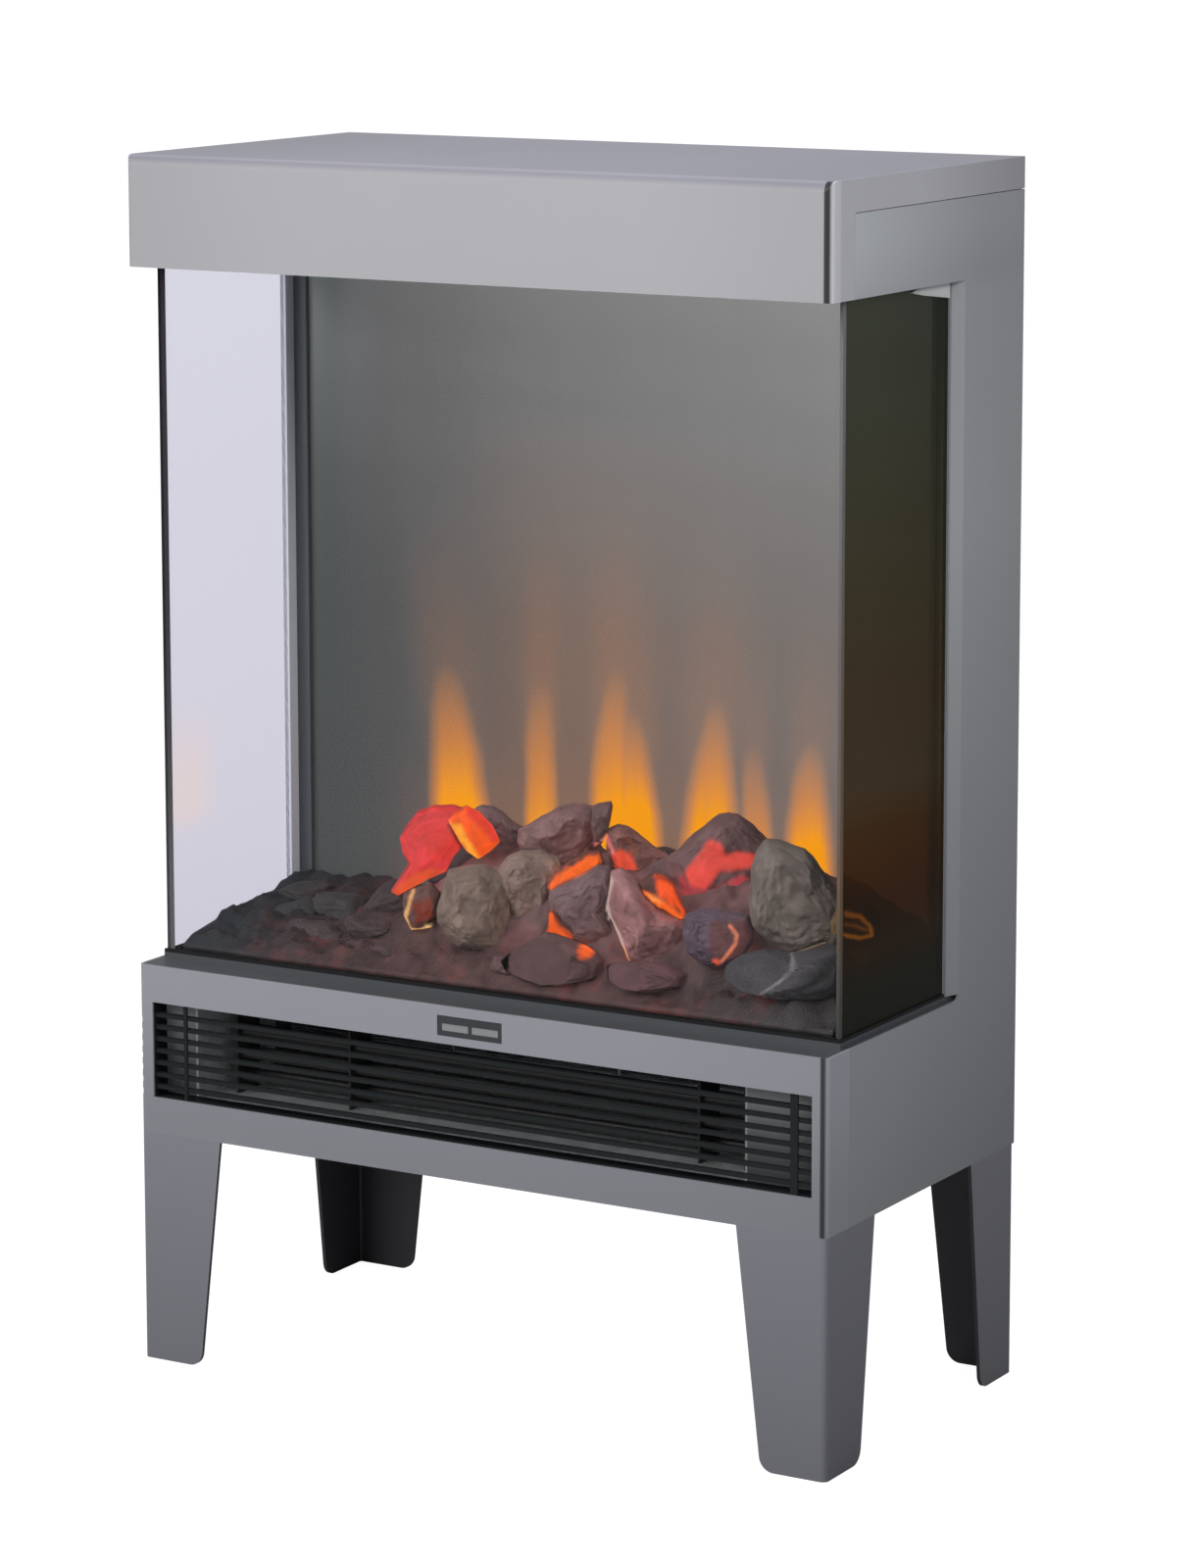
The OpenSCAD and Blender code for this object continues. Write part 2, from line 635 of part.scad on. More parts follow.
module thermostat_knob() {
  y0 = y_ctl + 3.2;
  color([0.10, 0.10, 0.11]) union() {
    rod_y(knob_x, y_ctl - 13, y0 + 1, ctl_z, 3);
    rod_y(knob_x, y0, y0 + 5, ctl_z, knob_r);
    rod_y(knob_x, y0 + 5, y0 + 8, ctl_z, knob_r - 3);
    // grip bar, with its lower left end (seen from behind) at the lowest setting
    translate([knob_x, 0, ctl_z]) rotate([0, -45, 0])
      box([-3, y0 + 8, -knob_r + 4], [3, y0 + 13.6, knob_r - 4]);
  }
}

module switch_housings() {
  color([0.07, 0.07, 0.08]) for (x = rocker_x) difference() {
    union() {
      box([x - 6.5, y_ctl - 16, ctl_z - 10.5], [x + 6.5, y_ctl + sheet, ctl_z + 10.5]);
      box([x - 7.7, y_ctl + sheet, ctl_z - 12], [x + 7.7, y_ctl + 3.4, ctl_z + 12]);
    }
    box([x - 5, y_ctl - 8, ctl_z - 9.4], [x + 5, y_ctl + 4, ctl_z + 9.4]);
    rod_x(x - 6, x + 6, y_ctl - 0.6, ctl_z, 1 + run_gap);
  }
}

// rocker tilted by a about its pin
module rocker(x, a) {
  translate([x, y_ctl - 0.6, ctl_z]) rotate([a, 0, 0]) union() {
    along_x(-4.6, 4.6) polygon([[-4, -8.3], [-4, 8.3], [4.4, 8.3], [2.8, 0], [4.4, -8.3]]);
    rod_x(-5.8, 5.8, 0, 0, 1);
  }
}

module flame_rocker() { color([0.55, 0.08, 0.05]) rocker(rocker_x[0], rocker_tilt); }
module low_heat_rocker() { color([0.08, 0.08, 0.09]) rocker(rocker_x[1], -rocker_tilt); }
module high_heat_rocker() { color([0.08, 0.08, 0.09]) rocker(rocker_x[2], -rocker_tilt); }

module control_board() {
  color([0.10, 0.35, 0.18]) union() {
    box([-150, 44, z_base + 8], [-70, 45.6, z_base + 74]);
    box([-142, 45.6, z_base + 40], [-122, 61, z_base + 56]);
    box([-112, 45.6, z_base + 40], [-92, 61, z_base + 56]);
    for (x = [-148, -74]) box([x, 44, z_base + 2 * sheet], [x + 2, 54, z_base + 8]);
  }
}

module terminal_block() {
  z0 = z_base + 2 * sheet;
  color([0.92, 0.91, 0.86]) difference() {
    union() {
      box([84, 58, z0], [124, 74, z0 + 6]);
      for (i = [0:2]) box([86 + i * 12.5, 60, z0 + 6], [97 + i * 12.5, 72, z0 + 14]);
    }
    for (i = [0:2]) rod_y(91.5 + i * 12.5, 57, 75, z0 + 9, 1.8);
  }
}

module cord_gland() {
  color([0.05, 0.05, 0.06]) difference() {
    union() {
      rod_y(gland_x, y_back - 12, y_back + sheet, gland_z, 7.5);
      rod_y(gland_x, y_back + sheet, yb, gland_z, 10);
    }
    rod_y(gland_x, y_back - 13, yb + 1, gland_z, gland_r);
  }
}

module gland_nut() {
  color([0.08, 0.08, 0.09]) difference() {
    translate([gland_x, y_back - 5, gland_z]) rotate([-90, 0, 0]) cylinder(r = 11.5, h = 5, $fn = 6);
    rod_y(gland_x, y_back - 6, yb, gland_z, 7.5);
  }
}

// ---------- legs ----------

// quarter plane with a rounded corner at x = -i, y = i
module corner_area(i, r, w) {
  translate([-w, i]) square([w - i - r, w - i]);
  translate([-w, i + r]) square([w - i, w - i - r]);
  translate([-i - r, i + r]) circle(r);
}

// outline of one leg face, u measured from the corner
module leg_face() {
  a = atan((leg_top_w - leg_foot_w) / leg_h);
  r = leg_corner_r;
  cu = leg_foot_w - r;
  polygon(concat([[-1, 0]],
    [for (i = [0:12]) [cu + r * cos(-90 + (90 - a) * i / 12), r + r * sin(-90 + (90 - a) * i / 12)]],
    [[leg_top_w, leg_h], [-1, leg_h]]));
}

// front right leg with its corner on the origin
module leg() {
  w = leg_top_w + 4;
  difference() {
    union() {
      intersection() {
        linear_extrude(leg_h) difference() {
          corner_area(0, corner_r, w);
          corner_area(leg_sheet, corner_r - leg_sheet, w + 1);
        }
        union() {
          translate([0, corner_r, 0]) rotate([90, 0, 0]) linear_extrude(corner_r + 1) mirror([1, 0]) leg_face();
          translate([-corner_r, 0, 0]) rotate([90, 0, 90]) linear_extrude(corner_r + 1) leg_face();
        }
      }
      // top plate
      translate([0, 0, leg_h - leg_sheet]) linear_extrude(leg_sheet)
        polygon([[-leg_sheet + 0.5, leg_sheet], [-leg_sheet, leg_sheet - 0.5], [-46, leg_sheet - 0.5],
                 [-46, 14], [-14, 46], [-leg_sheet + 0.5, 46]]);
    }
    translate([-leg_screw_u, leg_screw_v, leg_h - 4]) cylinder(r = 2.2, h = 6);
    translate([-leg_screw_v, leg_screw_u, leg_h - 4]) cylinder(r = 2.2, h = 6);
  }
}

module front_right_leg() { color([0.44, 0.44, 0.47]) translate([xo, yf, 0]) leg(); }
module front_left_leg() { color([0.44, 0.44, 0.47]) mirror([1, 0, 0]) translate([xo, yf, 0]) leg(); }
module rear_right_leg() { color([0.40, 0.40, 0.43]) mirror([0, 1, 0]) translate([xo, yf, 0]) leg(); }
module rear_left_leg() { color([0.40, 0.40, 0.43]) mirror([1, 0, 0]) mirror([0, 1, 0]) translate([xo, yf, 0]) leg(); }

// ---------- fasteners ----------

module leg_screws() {
  color([0.55, 0.56, 0.58]) at_leg_screws() difference() {
    translate([0, 0, leg_h - leg_sheet]) union() {
      translate([0, 0, -2.2]) cylinder(r = 4, h = 2.2);
      cylinder(r = 2, h = leg_sheet + 2 * sheet + 2);
    }
    for (a = [0, 90]) translate([0, 0, leg_h - leg_sheet - 2.2]) rotate([0, 0, a])
      translate([-2.2, -0.4, -0.1]) cube([4.4, 0.8, 1.1]);
  }
}

// countersunk screw along -Y from the point [x, yb, z]
module flush_screw(x, z) {
  difference() {
    union() {
      translate([x, yb - sheet, z]) rotate([-90, 0, 0]) cylinder(r1 = 2, r2 = 3.6, h = sheet);
      rod_y(x, y_back - 3, yb - sheet, z, 2);
    }
    for (a = [0, 90]) translate([x, yb - 0.8, z]) rotate([0, a, 0]) translate([-2, 0, -0.4]) cube([4, 1.8, 0.8]);
  }
}

module casing_screws() {
  color([0.55, 0.56, 0.58]) for (s = [-1, 1], z = casing_screw_z) flush_screw(s * (xo - 7), z);
}

module cover_screws() {
  color([0.55, 0.56, 0.58]) for (x = cover_screw_x) flush_screw(x, z_seam + 6);
}

top_cover();
hood_liner();
left_side_panel();
right_side_panel();
back_panel();
base_front_panel();
base_floor();
hearth_deck();
outlet_grille();
outlet_side_plates();
indicator_bezel();
indicator_lenses();
front_glass();
left_glass();
right_glass();
glass_foot_channel();
glass_head_channel();
rear_glass_seals();
flame_screen();
screen_frame();
screen_top_bracket();
fuel_bed();
coals();
ember_led_board();
flame_led_board();
flame_mask();
flame_spindle();
spindle_brackets();
spindle_bushes();
spindle_motor();
heater_duct();
heating_element();
thermal_cutout();
fan_housing();
fan_impeller();
fan_bearing();
fan_motor();
control_plate();
thermostat_body();
thermostat_knob();
switch_housings();
flame_rocker();
low_heat_rocker();
high_heat_rocker();
control_board();
terminal_block();
cord_gland();
gland_nut();
front_left_leg();
front_right_leg();
rear_left_leg();
rear_right_leg();
leg_screws();
casing_screws();
cover_screws();
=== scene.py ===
import math

import bmesh
import bpy
import numpy as np
from mathutils import Matrix, Vector, noise


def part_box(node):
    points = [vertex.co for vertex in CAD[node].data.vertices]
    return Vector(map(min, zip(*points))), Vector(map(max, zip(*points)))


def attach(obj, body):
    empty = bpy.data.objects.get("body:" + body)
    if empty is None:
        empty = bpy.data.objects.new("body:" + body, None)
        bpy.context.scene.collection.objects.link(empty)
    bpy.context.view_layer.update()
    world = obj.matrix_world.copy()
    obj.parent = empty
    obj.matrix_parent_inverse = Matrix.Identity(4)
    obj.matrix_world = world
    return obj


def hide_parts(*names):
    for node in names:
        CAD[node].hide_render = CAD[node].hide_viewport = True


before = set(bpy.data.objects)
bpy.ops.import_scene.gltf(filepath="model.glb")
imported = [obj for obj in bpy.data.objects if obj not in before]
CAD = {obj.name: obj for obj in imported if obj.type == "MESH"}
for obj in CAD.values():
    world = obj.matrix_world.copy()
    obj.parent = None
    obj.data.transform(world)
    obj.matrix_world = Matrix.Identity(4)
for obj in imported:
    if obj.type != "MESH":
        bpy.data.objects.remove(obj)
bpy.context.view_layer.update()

scene = bpy.context.scene
scene.view_settings.view_transform = "Standard"
scene.view_settings.look = "None"
MM = 0.001

# ------------------------------------------------------------------ camera

def make_camera():
    yaw, pitch, roll = math.radians(30.528), math.radians(8.816), math.radians(-0.101)
    fwd = Vector((-math.sin(yaw) * math.cos(pitch), math.cos(yaw) * math.cos(pitch), -math.sin(pitch)))
    right = Vector((math.cos(yaw), math.sin(yaw), 0))
    up = right.cross(fwd)
    r = right * math.cos(roll) + up * math.sin(roll)
    u = up * math.cos(roll) - right * math.sin(roll)
    data = bpy.data.cameras.new("camera")
    data.sensor_width = 36
    data.lens = 5097.27 / 1600 * 36
    data.shift_y = -0.12
    data.clip_start, data.clip_end = 0.1, 100
    cam = bpy.data.objects.new("camera", data)
    m = Matrix((r, u, -fwd)).transposed().to_4x4()
    m.translation = Vector((1.28807, -2.05909 - 0.103, 0.79595))
    cam.matrix_world = m
    scene.collection.objects.link(cam)
    scene.camera = cam
    return cam

cam = make_camera()

# ------------------------------------------------------------------ lights and floor

def area(name, at, look, size, power, colour=(1, 1, 1)):
    data = bpy.data.lights.new(name, "AREA")
    data.shape = "RECTANGLE"
    data.size, data.size_y = size
    data.energy = power
    data.color = colour
    o = bpy.data.objects.new(name, data)
    o.location = at
    o.rotation_euler = (Vector(look) - Vector(at)).to_track_quat("-Z", "Y").to_euler()
    o.visible_transmission = False
    scene.collection.objects.link(o)
    return o

area("key", (-1.15, -2.1, 1.75), (0, 0, 0.38), (1.5, 1.1), 34, (1.0, 0.995, 0.985))
area("side", (1.25, -0.95, 1.35), (0.2, -0.05, 0.45), (0.7, 0.7), 9.0, (0.99, 0.995, 1.0))
area("top", (0.0, 0.2, 2.6), (0, 0, 0.3), (2.0, 2.0), 7, (0.93, 0.95, 1.0))
area("back", (0.0, 1.75, 0.40), (0, 0, 0.34), (0.36, 0.34), 13, (0.98, 0.99, 1.0)).visible_camera = False

world = bpy.data.worlds.new("studio")
scene.world = world
world.use_nodes = True
wt = world.node_tree
wt.nodes.clear()
w_out = wt.nodes.new("ShaderNodeOutputWorld")
w_bg = wt.nodes.new("ShaderNodeBackground")
w_co = wt.nodes.new("ShaderNodeTexCoord")
w_dot = wt.nodes.new("ShaderNodeVectorMath")
w_dot.operation = "DOT_PRODUCT"
w_dot.inputs[1].default_value = Vector((-0.70, -0.66, 0.28)).normalized()
w_ramp = wt.nodes.new("ShaderNodeValToRGB")
w_ramp.color_ramp.elements[0].position = 0.0
w_ramp.color_ramp.elements[0].color = (0.22, 0.225, 0.235, 1)
w_ramp.color_ramp.elements[1].position = 1.0
w_ramp.color_ramp.elements[1].color = (0.98, 0.98, 1.0, 1)
w_map = wt.nodes.new("ShaderNodeMapRange")
w_map.inputs["From Min"].default_value = -1
w_map.inputs["From Max"].default_value = 1
wt.links.new(w_co.outputs["Generated"], w_dot.inputs[0])
wt.links.new(w_dot.outputs["Value"], w_map.inputs["Value"])
wt.links.new(w_map.outputs["Result"], w_ramp.inputs["Fac"])
wt.links.new(w_ramp.outputs["Color"], w_bg.inputs["Color"])
w_bg.inputs["Strength"].default_value = 0.62
w_bg2 = wt.nodes.new("ShaderNodeBackground")
w_bg2.inputs["Color"].default_value = (1.0, 1.0, 1.0, 1)
w_lp = wt.nodes.new("ShaderNodeLightPath")
w_mix = wt.nodes.new("ShaderNodeMixShader")
wt.links.new(w_lp.outputs["Is Camera Ray"], w_mix.inputs["Fac"])
wt.links.new(w_bg.outputs["Background"], w_mix.inputs[1])
wt.links.new(w_bg2.outputs["Background"], w_mix.inputs[2])
wt.links.new(w_mix.outputs["Shader"], w_out.inputs["Surface"])

# ------------------------------------------------------------------ material helpers

class Mat:
    """A node material built around one Principled shader."""

    def __init__(self, name):
        self.mat = bpy.data.materials.new(name)
        self.mat.use_nodes = True
        self.nt = self.mat.node_tree
        self.nt.nodes.clear()
        self.out = self.nt.nodes.new("ShaderNodeOutputMaterial")
        self.p = self.nt.nodes.new("ShaderNodeBsdfPrincipled")
        self.nt.links.new(self.p.outputs[0], self.out.inputs["Surface"])
        self.co = self.nt.nodes.new("ShaderNodeTexCoord")
        self.obj = self.co.outputs["Object"]

    def put(self, socket, v):
        if isinstance(v, bpy.types.NodeSocket):
            self.nt.links.new(v, socket)
        elif isinstance(v, (tuple, list)) and len(v) == 3 and socket.type == "RGBA":
            socket.default_value = (*v, 1)
        else:
            socket.default_value = v

    def set(self, **kw):
        for k, v in kw.items():
            self.put(self.p.inputs[k.replace("_", " ")], v)
        return self

    def math(self, op, a, b=None, c=None, clamp=False):
        n = self.nt.nodes.new("ShaderNodeMath")
        n.operation = op
        n.use_clamp = clamp
        for s, v in zip(n.inputs, (a, b, c)):
            if v is not None:
                self.put(s, v)
        return n.outputs[0]

    def remap(self, v, a, b, c=0.0, d=1.0, smooth=True):
        n = self.nt.nodes.new("ShaderNodeMapRange")
        n.interpolation_type = "SMOOTHSTEP" if smooth else "LINEAR"
        for k, x in (("Value", v), ("From Min", a), ("From Max", b), ("To Min", c), ("To Max", d)):
            self.put(n.inputs[k], x)
        return n.outputs["Result"]

    def xyz(self, v=None):
        n = self.nt.nodes.new("ShaderNodeSeparateXYZ")
        self.put(n.inputs[0], v or self.obj)
        return n.outputs[0], n.outputs[1], n.outputs[2]

    def join(self, x, y, z):
        n = self.nt.nodes.new("ShaderNodeCombineXYZ")
        for s, v in zip(n.inputs, (x, y, z)):
            self.put(s, v)
        return n.outputs[0]

    def scaled(self, k, v=None):
        n = self.nt.nodes.new("ShaderNodeVectorMath")
        n.operation = "MULTIPLY"
        self.put(n.inputs[0], v or self.obj)
        n.inputs[1].default_value = k
        return n.outputs[0]

    def noise(self, scale, detail=2.0, rough=0.5, vec=None, distort=0.0):
        n = self.nt.nodes.new("ShaderNodeTexNoise")
        n.inputs["Scale"].default_value = scale
        n.inputs["Detail"].default_value = detail
        n.inputs["Roughness"].default_value = rough
        n.inputs["Distortion"].default_value = distort
        self.put(n.inputs["Vector"], vec or self.obj)
        return n.outputs["Fac"]

    def voronoi(self, scale, feature="F1", vec=None, out="Distance"):
        n = self.nt.nodes.new("ShaderNodeTexVoronoi")
        n.feature = feature
        n.inputs["Scale"].default_value = scale
        self.put(n.inputs["Vector"], vec or self.obj)
        return n.outputs[out]

    def ramp(self, fac, stops, mode="LINEAR"):
        n = self.nt.nodes.new("ShaderNodeValToRGB")
        n.color_ramp.interpolation = mode
        e = n.color_ramp.elements
        while len(e) < len(stops):
            e.new(0.5)
        for el, (pos, col) in zip(e, stops):
            el.position = pos
            el.color = (*col, 1)
        self.put(n.inputs["Fac"], fac)
        return n.outputs["Color"]

    def mix(self, fac, a, b, mode="MIX"):
        n = self.nt.nodes.new("ShaderNodeMix")
        n.data_type = "RGBA"
        n.blend_type = mode
        n.clamp_result = False
        self.put(n.inputs[0], fac)
        self.put(n.inputs[6], a)
        self.put(n.inputs[7], b)
        return n.outputs[2]

    def bump(self, height, strength=0.2, dist=0.0005, normal=None):
        n = self.nt.nodes.new("ShaderNodeBump")
        n.inputs["Strength"].default_value = strength
        n.inputs["Distance"].default_value = dist
        self.put(n.inputs["Height"], height)
        if normal is not None:
            self.put(n.inputs["Normal"], normal)
        return n.outputs["Normal"]


def dress(mat, *names):
    """Gives a material to every slot of the named CAD nodes."""
    for name in names:
        o = CAD[name]
        o.data.materials.clear()
        o.data.materials.append(mat.mat)


def s2l(*c):
    """sRGB 0-255 numbers as linear ones."""
    return tuple((v / 255 / 12.92) if v <= 10.31 else ((v / 255 + 0.055) / 1.055) ** 2.4 for v in c)

# ------------------------------------------------------------------ painted sheet metal

def paint(name, colour, rough=0.42, shade=None, spec=0.5):
    """Satin powder coat: a fine orange peel, a faint speckle and slow drifts of tone."""
    m = Mat(name)
    fine = m.noise(2600, 2, 0.6)
    peel = m.noise(620, 3, 0.55)
    drift = m.noise(5.5, 3, 0.5)
    k = m.math("MULTIPLY_ADD", fine, 0.07, 0.965)
    k = m.math("MULTIPLY", k, m.math("MULTIPLY_ADD", drift, 0.10, 0.95))
    rgb = (k, k, k)
    # shade paints the light and shade of the lamps into the coat's colour
    if shade is not None:
        f = shade(m)
        f = f if isinstance(f, tuple) else (f, f, f)
        rgb = tuple(m.math("MULTIPLY", k, v) for v in f)
    base = m.mix(1.0, colour, m.join(*rgb), "MULTIPLY")
    m.set(Base_Color=base, Roughness=m.math("MULTIPLY_ADD", peel, 0.10, rough - 0.05),
          Normal=m.bump(peel, 0.10, 0.00025))
    m.p.inputs["Specular IOR Level"].default_value = spec
    return m


def corner_line(m, x0, x1, dark):
    """A dark shadow line down the front corners, between |x| = x0 and x1."""
    x, y, z = m.xyz()
    ax = m.math("ABSOLUTE", x)
    a = m.remap(ax, x0 - 0.0004, x0 + 0.0004)
    b = m.remap(ax, x1 - 0.0004, x1 + 0.0004, 1, 0)
    front = m.remap(y, -0.1005, -0.0985, 1, 0)
    right = m.remap(x, 0.0, 0.01)
    f = m.math("MULTIPLY", m.math("MULTIPLY", a, b), m.math("MULTIPLY", front, right))
    return m.math("MULTIPLY_ADD", f, dark - 1, 1)

def pale_strip(m, depth, gain):
    """The lighter strip on the side of a front corner, where the bend catches the light."""
    x, y, z = m.xyz()
    side = m.remap(m.math("ABSOLUTE", x), 0.2006, 0.2014)
    f = m.math("MULTIPLY", side, m.remap(y, -0.103 + depth - 0.0008, -0.103 + depth + 0.0008, 1, 0))
    return m.math("MULTIPLY_ADD", f, gain - 1, 1)

def line(m, v, points, lo, hi):
    """A value that follows straight lines between (position, value) points, positions from lo to hi."""
    f = m.remap(v, lo, hi, smooth=False)
    col = m.ramp(f, [((q - lo) / (hi - lo), (w,) * 3) for q, w in points])
    return m.xyz(col)[0]

def top_shade(m):
    # a pale strip beside the right corner, and the hood's end faces lighter towards the front
    # painted light and shade: the top and the rounded front edge darker and bluer, the ends darker, dark lines down the
    # front corners,
    x, y, z = m.xyz()
    nz = m.xyz(m.co.outputs["Normal"])[2]
    roof = m.remap(nz, 0.08, 0.60)
    ends = m.remap(m.math("ABSOLUTE", x), 0.09, 0.20, 0.955, 0.865)
    left = m.math("MULTIPLY", m.remap(x, -0.2000, -0.2008), m.remap(y, -0.1005, -0.0992, 1, 0))
    left = m.math("MULTIPLY", left, m.remap(z, 0.618, 0.585))
    k = m.math("MULTIPLY", corner_line(m, 0.1975, 0.2004, 0.07), pale_strip(m, 0.0085, 1.22))
    k = m.math("MULTIPLY", m.math("MULTIPLY", k, ends), m.math("MULTIPLY_ADD", left, -0.65, 1))
    # painted shade along the rounded edge at the front, and painted light on the end faces, brighter towards the front
    brow = m.math("MULTIPLY", m.remap(nz, 0.03, 0.30), m.remap(nz, 0.70, 0.97, 1, 0))
    k = m.math("MULTIPLY", k, m.math("MULTIPLY_ADD", brow, -0.25, 1))
    end_face = m.remap(m.math("ABSOLUTE", x), 0.2008, 0.2014)
    gain = line(m, y, [(-0.103, 0.50), (-0.01, 0.49), (0.085, 0.11), (0.103, 0.05)], -0.11, 0.11)
    k = m.math("MULTIPLY", k, m.math("MULTIPLY_ADD", end_face, gain, 1.0))
    return (m.math("MULTIPLY", k, m.math("MULTIPLY_ADD", roof, -0.16, 1)),
            m.math("MULTIPLY", k, m.math("MULTIPLY_ADD", roof, -0.17, 1)),
            m.math("MULTIPLY", k, m.math("MULTIPLY_ADD", roof, -0.09, 1)))

def base_shade(m):
    # painted light and shade: lighter towards the top and the left, a dark line down the right front corner, a pale
    # strip on the sides by the front corners
    x, y, z = m.xyz()
    up = m.remap(z, 0.125, 0.205, 1.03, 1.36)
    along = line(m, x, [(-0.20, 1.06), (0.0, 1.02), (0.10, 0.98), (0.20, 0.90)], -0.21, 0.21)
    k = m.math("MULTIPLY", corner_line(m, 0.1980, 0.2004, 0.16), pale_strip(m, 0.03, 1.34))
    return m.math("MULTIPLY", m.math("MULTIPLY", k, up), along)

def side_shade(m):
    # painted light and shade: lighter higher up and towards the front; on the hood, lighter still at the front and
    # darker at the back
    x, y, z = m.xyz()
    up = line(m, z, [(0.12, 0.64), (0.17, 0.73), (0.28, 0.90), (0.45, 1.20), (0.57, 1.18), (0.60, 1.36)], 0.10, 0.64)
    back = m.remap(y, -0.08, 0.10, 1.06, 0.84, smooth=False)
    hood = m.math("MULTIPLY", m.remap(z, 0.565, 0.58), m.remap(y, -0.09, 0.06, 0.14, -0.10, smooth=False))
    return m.math("MULTIPLY", m.math("MULTIPLY", up, back), m.math("ADD", hood, 1.0))

def plate_shade(m):
    """The plates beside the heater duct lie in the shade of the slats, more so lower down."""
    x, y, z = m.xyz()
    return line(m, z, [(0.14, 0.30), (0.155, 0.42), (0.175, 0.85), (0.195, 1.0)], 0.13, 0.21)

def leg_shade(m):
    """Painted shade: the legs' inner faces are made dark where the body shades them, faces that point along x a little
    darker, and each leg darker towards the floor and towards the right.
    """
    nx, ny, nz = m.xyz(m.co.outputs["Normal"])
    x, y, z = m.xyz()
    ix = m.math("MULTIPLY", nx, m.math("SIGN", x))
    iy = m.math("MULTIPLY", ny, m.math("SIGN", y))
    inner = m.math("MINIMUM", ix, iy)
    f = m.remap(inner, -0.35, -0.75)
    side = m.remap(m.math("ABSOLUTE", nx), 0.5, 0.9, 1.0, 0.89)
    k = m.math("MULTIPLY", m.math("MULTIPLY_ADD", f, -0.80, 1.0), line(m, z, [(0.0, 0.84), (0.12, 1.10)], 0.0, 0.125))
    k = m.math("MULTIPLY", k, m.remap(x, -0.1, 0.1, 1.06, 0.96))
    return m.math("MULTIPLY", k, side)

# the top cover is in a lighter paint than the rest; these greys also carry painted light and shade, one paint given
# lighter and darker copies for the top, base front, sides and legs by how the lamps fall on them
paint_top = paint("grey_paint_top", (0.498, 0.498, 0.525), 0.50, top_shade)
paint_base = paint("grey_paint_base", (0.245, 0.25, 0.275), 0.42, base_shade)
paint_side = paint("grey_paint_side", (0.42, 0.435, 0.455), 0.42, side_shade)
paint_back = paint("grey_paint_back", (0.22, 0.225, 0.235), 0.45)
paint_leg = paint("grey_paint_leg", (0.215, 0.217, 0.245), 0.42, leg_shade)
paint_dark = paint("dark_paint", (0.055, 0.060, 0.066), 0.38)
paint_frame = paint("dark_paint_frame", (0.071, 0.081, 0.090), 0.40)
dress(paint_top, "top_cover")
dress(paint_base, "base_front_panel")
dress(paint_side, "left_side_panel", "right_side_panel")
dress(paint_back, "back_panel")
dress(paint_leg, "front_left_leg", "front_right_leg", "rear_left_leg", "rear_right_leg")
dress(paint_dark, "hood_liner", "flame_mask")
dress(paint("dark_paint_deck", (0.075, 0.082, 0.090), 0.42), "hearth_deck")
dress(paint_frame, "screen_frame")
dress(paint("grey_paint_plate", (0.46, 0.48, 0.495), 0.5, plate_shade), "outlet_side_plates")

# ------------------------------------------------------------------ other metals

def galvanised(name, colour=(0.56, 0.58, 0.60), rough=0.34, metal=0.85):
    """Zinc-coated sheet with its spangle of crystals."""
    m = Mat(name)
    cell = m.voronoi(150, "F1", out="Color")
    grey = m.nt.nodes.new("ShaderNodeRGBToBW")
    m.put(grey.inputs[0], cell)
    k = m.math("MULTIPLY_ADD", grey.outputs[0], 0.30, 0.80)
    k = m.math("MULTIPLY", k, m.math("MULTIPLY_ADD", m.noise(40, 3), 0.16, 0.92))
    m.set(Base_Color=m.mix(1.0, colour, m.join(k, k, k), "MULTIPLY"), Metallic=metal,
          Roughness=m.math("MULTIPLY_ADD", grey.outputs[0], 0.16, rough),
          Normal=m.bump(grey.outputs[0], 0.05, 0.0002))
    return m


def brushed(name, colour, rough=0.28, scale=(30, 900, 900)):
    m = Mat(name)
    lines = m.noise(1.0, 3, 0.6, vec=m.scaled(scale))
    k = m.math("MULTIPLY_ADD", lines, 0.28, 0.86)
    m.set(Base_Color=m.mix(1.0, colour, m.join(k, k, k), "MULTIPLY"), Metallic=1.0,
          Roughness=m.math("MULTIPLY_ADD", lines, 0.18, rough - 0.06), Normal=m.bump(lines, 0.06, 0.0002))
    return m

zinc = galvanised("galvanised_sheet")
dress(zinc, "base_floor", "screen_top_bracket", "spindle_brackets", "fan_housing")
# painted light: the duct is galvanised, but its zinc is made near-white and barely metallic, much paler than the sheet
# elsewhere, so its inside shows lit between the slats
dress(galvanised("galvanised_duct", (0.78, 0.81, 0.82), 0.55, 0.15), "heater_duct")
dress(brushed("bright_foil", (0.80, 0.81, 0.83), 0.2), "flame_spindle", "fan_impeller")
dress(brushed("motor_steel", (0.50, 0.51, 0.53), 0.34), "spindle_motor", "fan_motor")
dress(brushed("bronze", (0.62, 0.42, 0.18), 0.32), "fan_bearing")
dress(brushed("screw_steel", (0.20, 0.21, 0.22), 0.52, (500, 500, 500)), "leg_screws", "casing_screws", "cover_screws")

# ------------------------------------------------------------------ plastics and rubber

def plastic(name, colour, rough=0.35, grain=1500, depth=0.12, spec=0.5):
    """Moulded plastic with a fine spark-eroded grain."""
    m = Mat(name)
    g = m.noise(grain, 3, 0.6)
    d = m.noise(18, 2, 0.5)
    k = m.math("MULTIPLY_ADD", d, 0.14, 0.93)
    m.set(Base_Color=m.mix(1.0, colour, m.join(k, k, k), "MULTIPLY"),
          Roughness=m.math("MULTIPLY_ADD", g, 0.16, rough - 0.08), Normal=m.bump(g, depth, 0.0003))
    m.p.inputs["Specular IOR Level"].default_value = spec
    return m

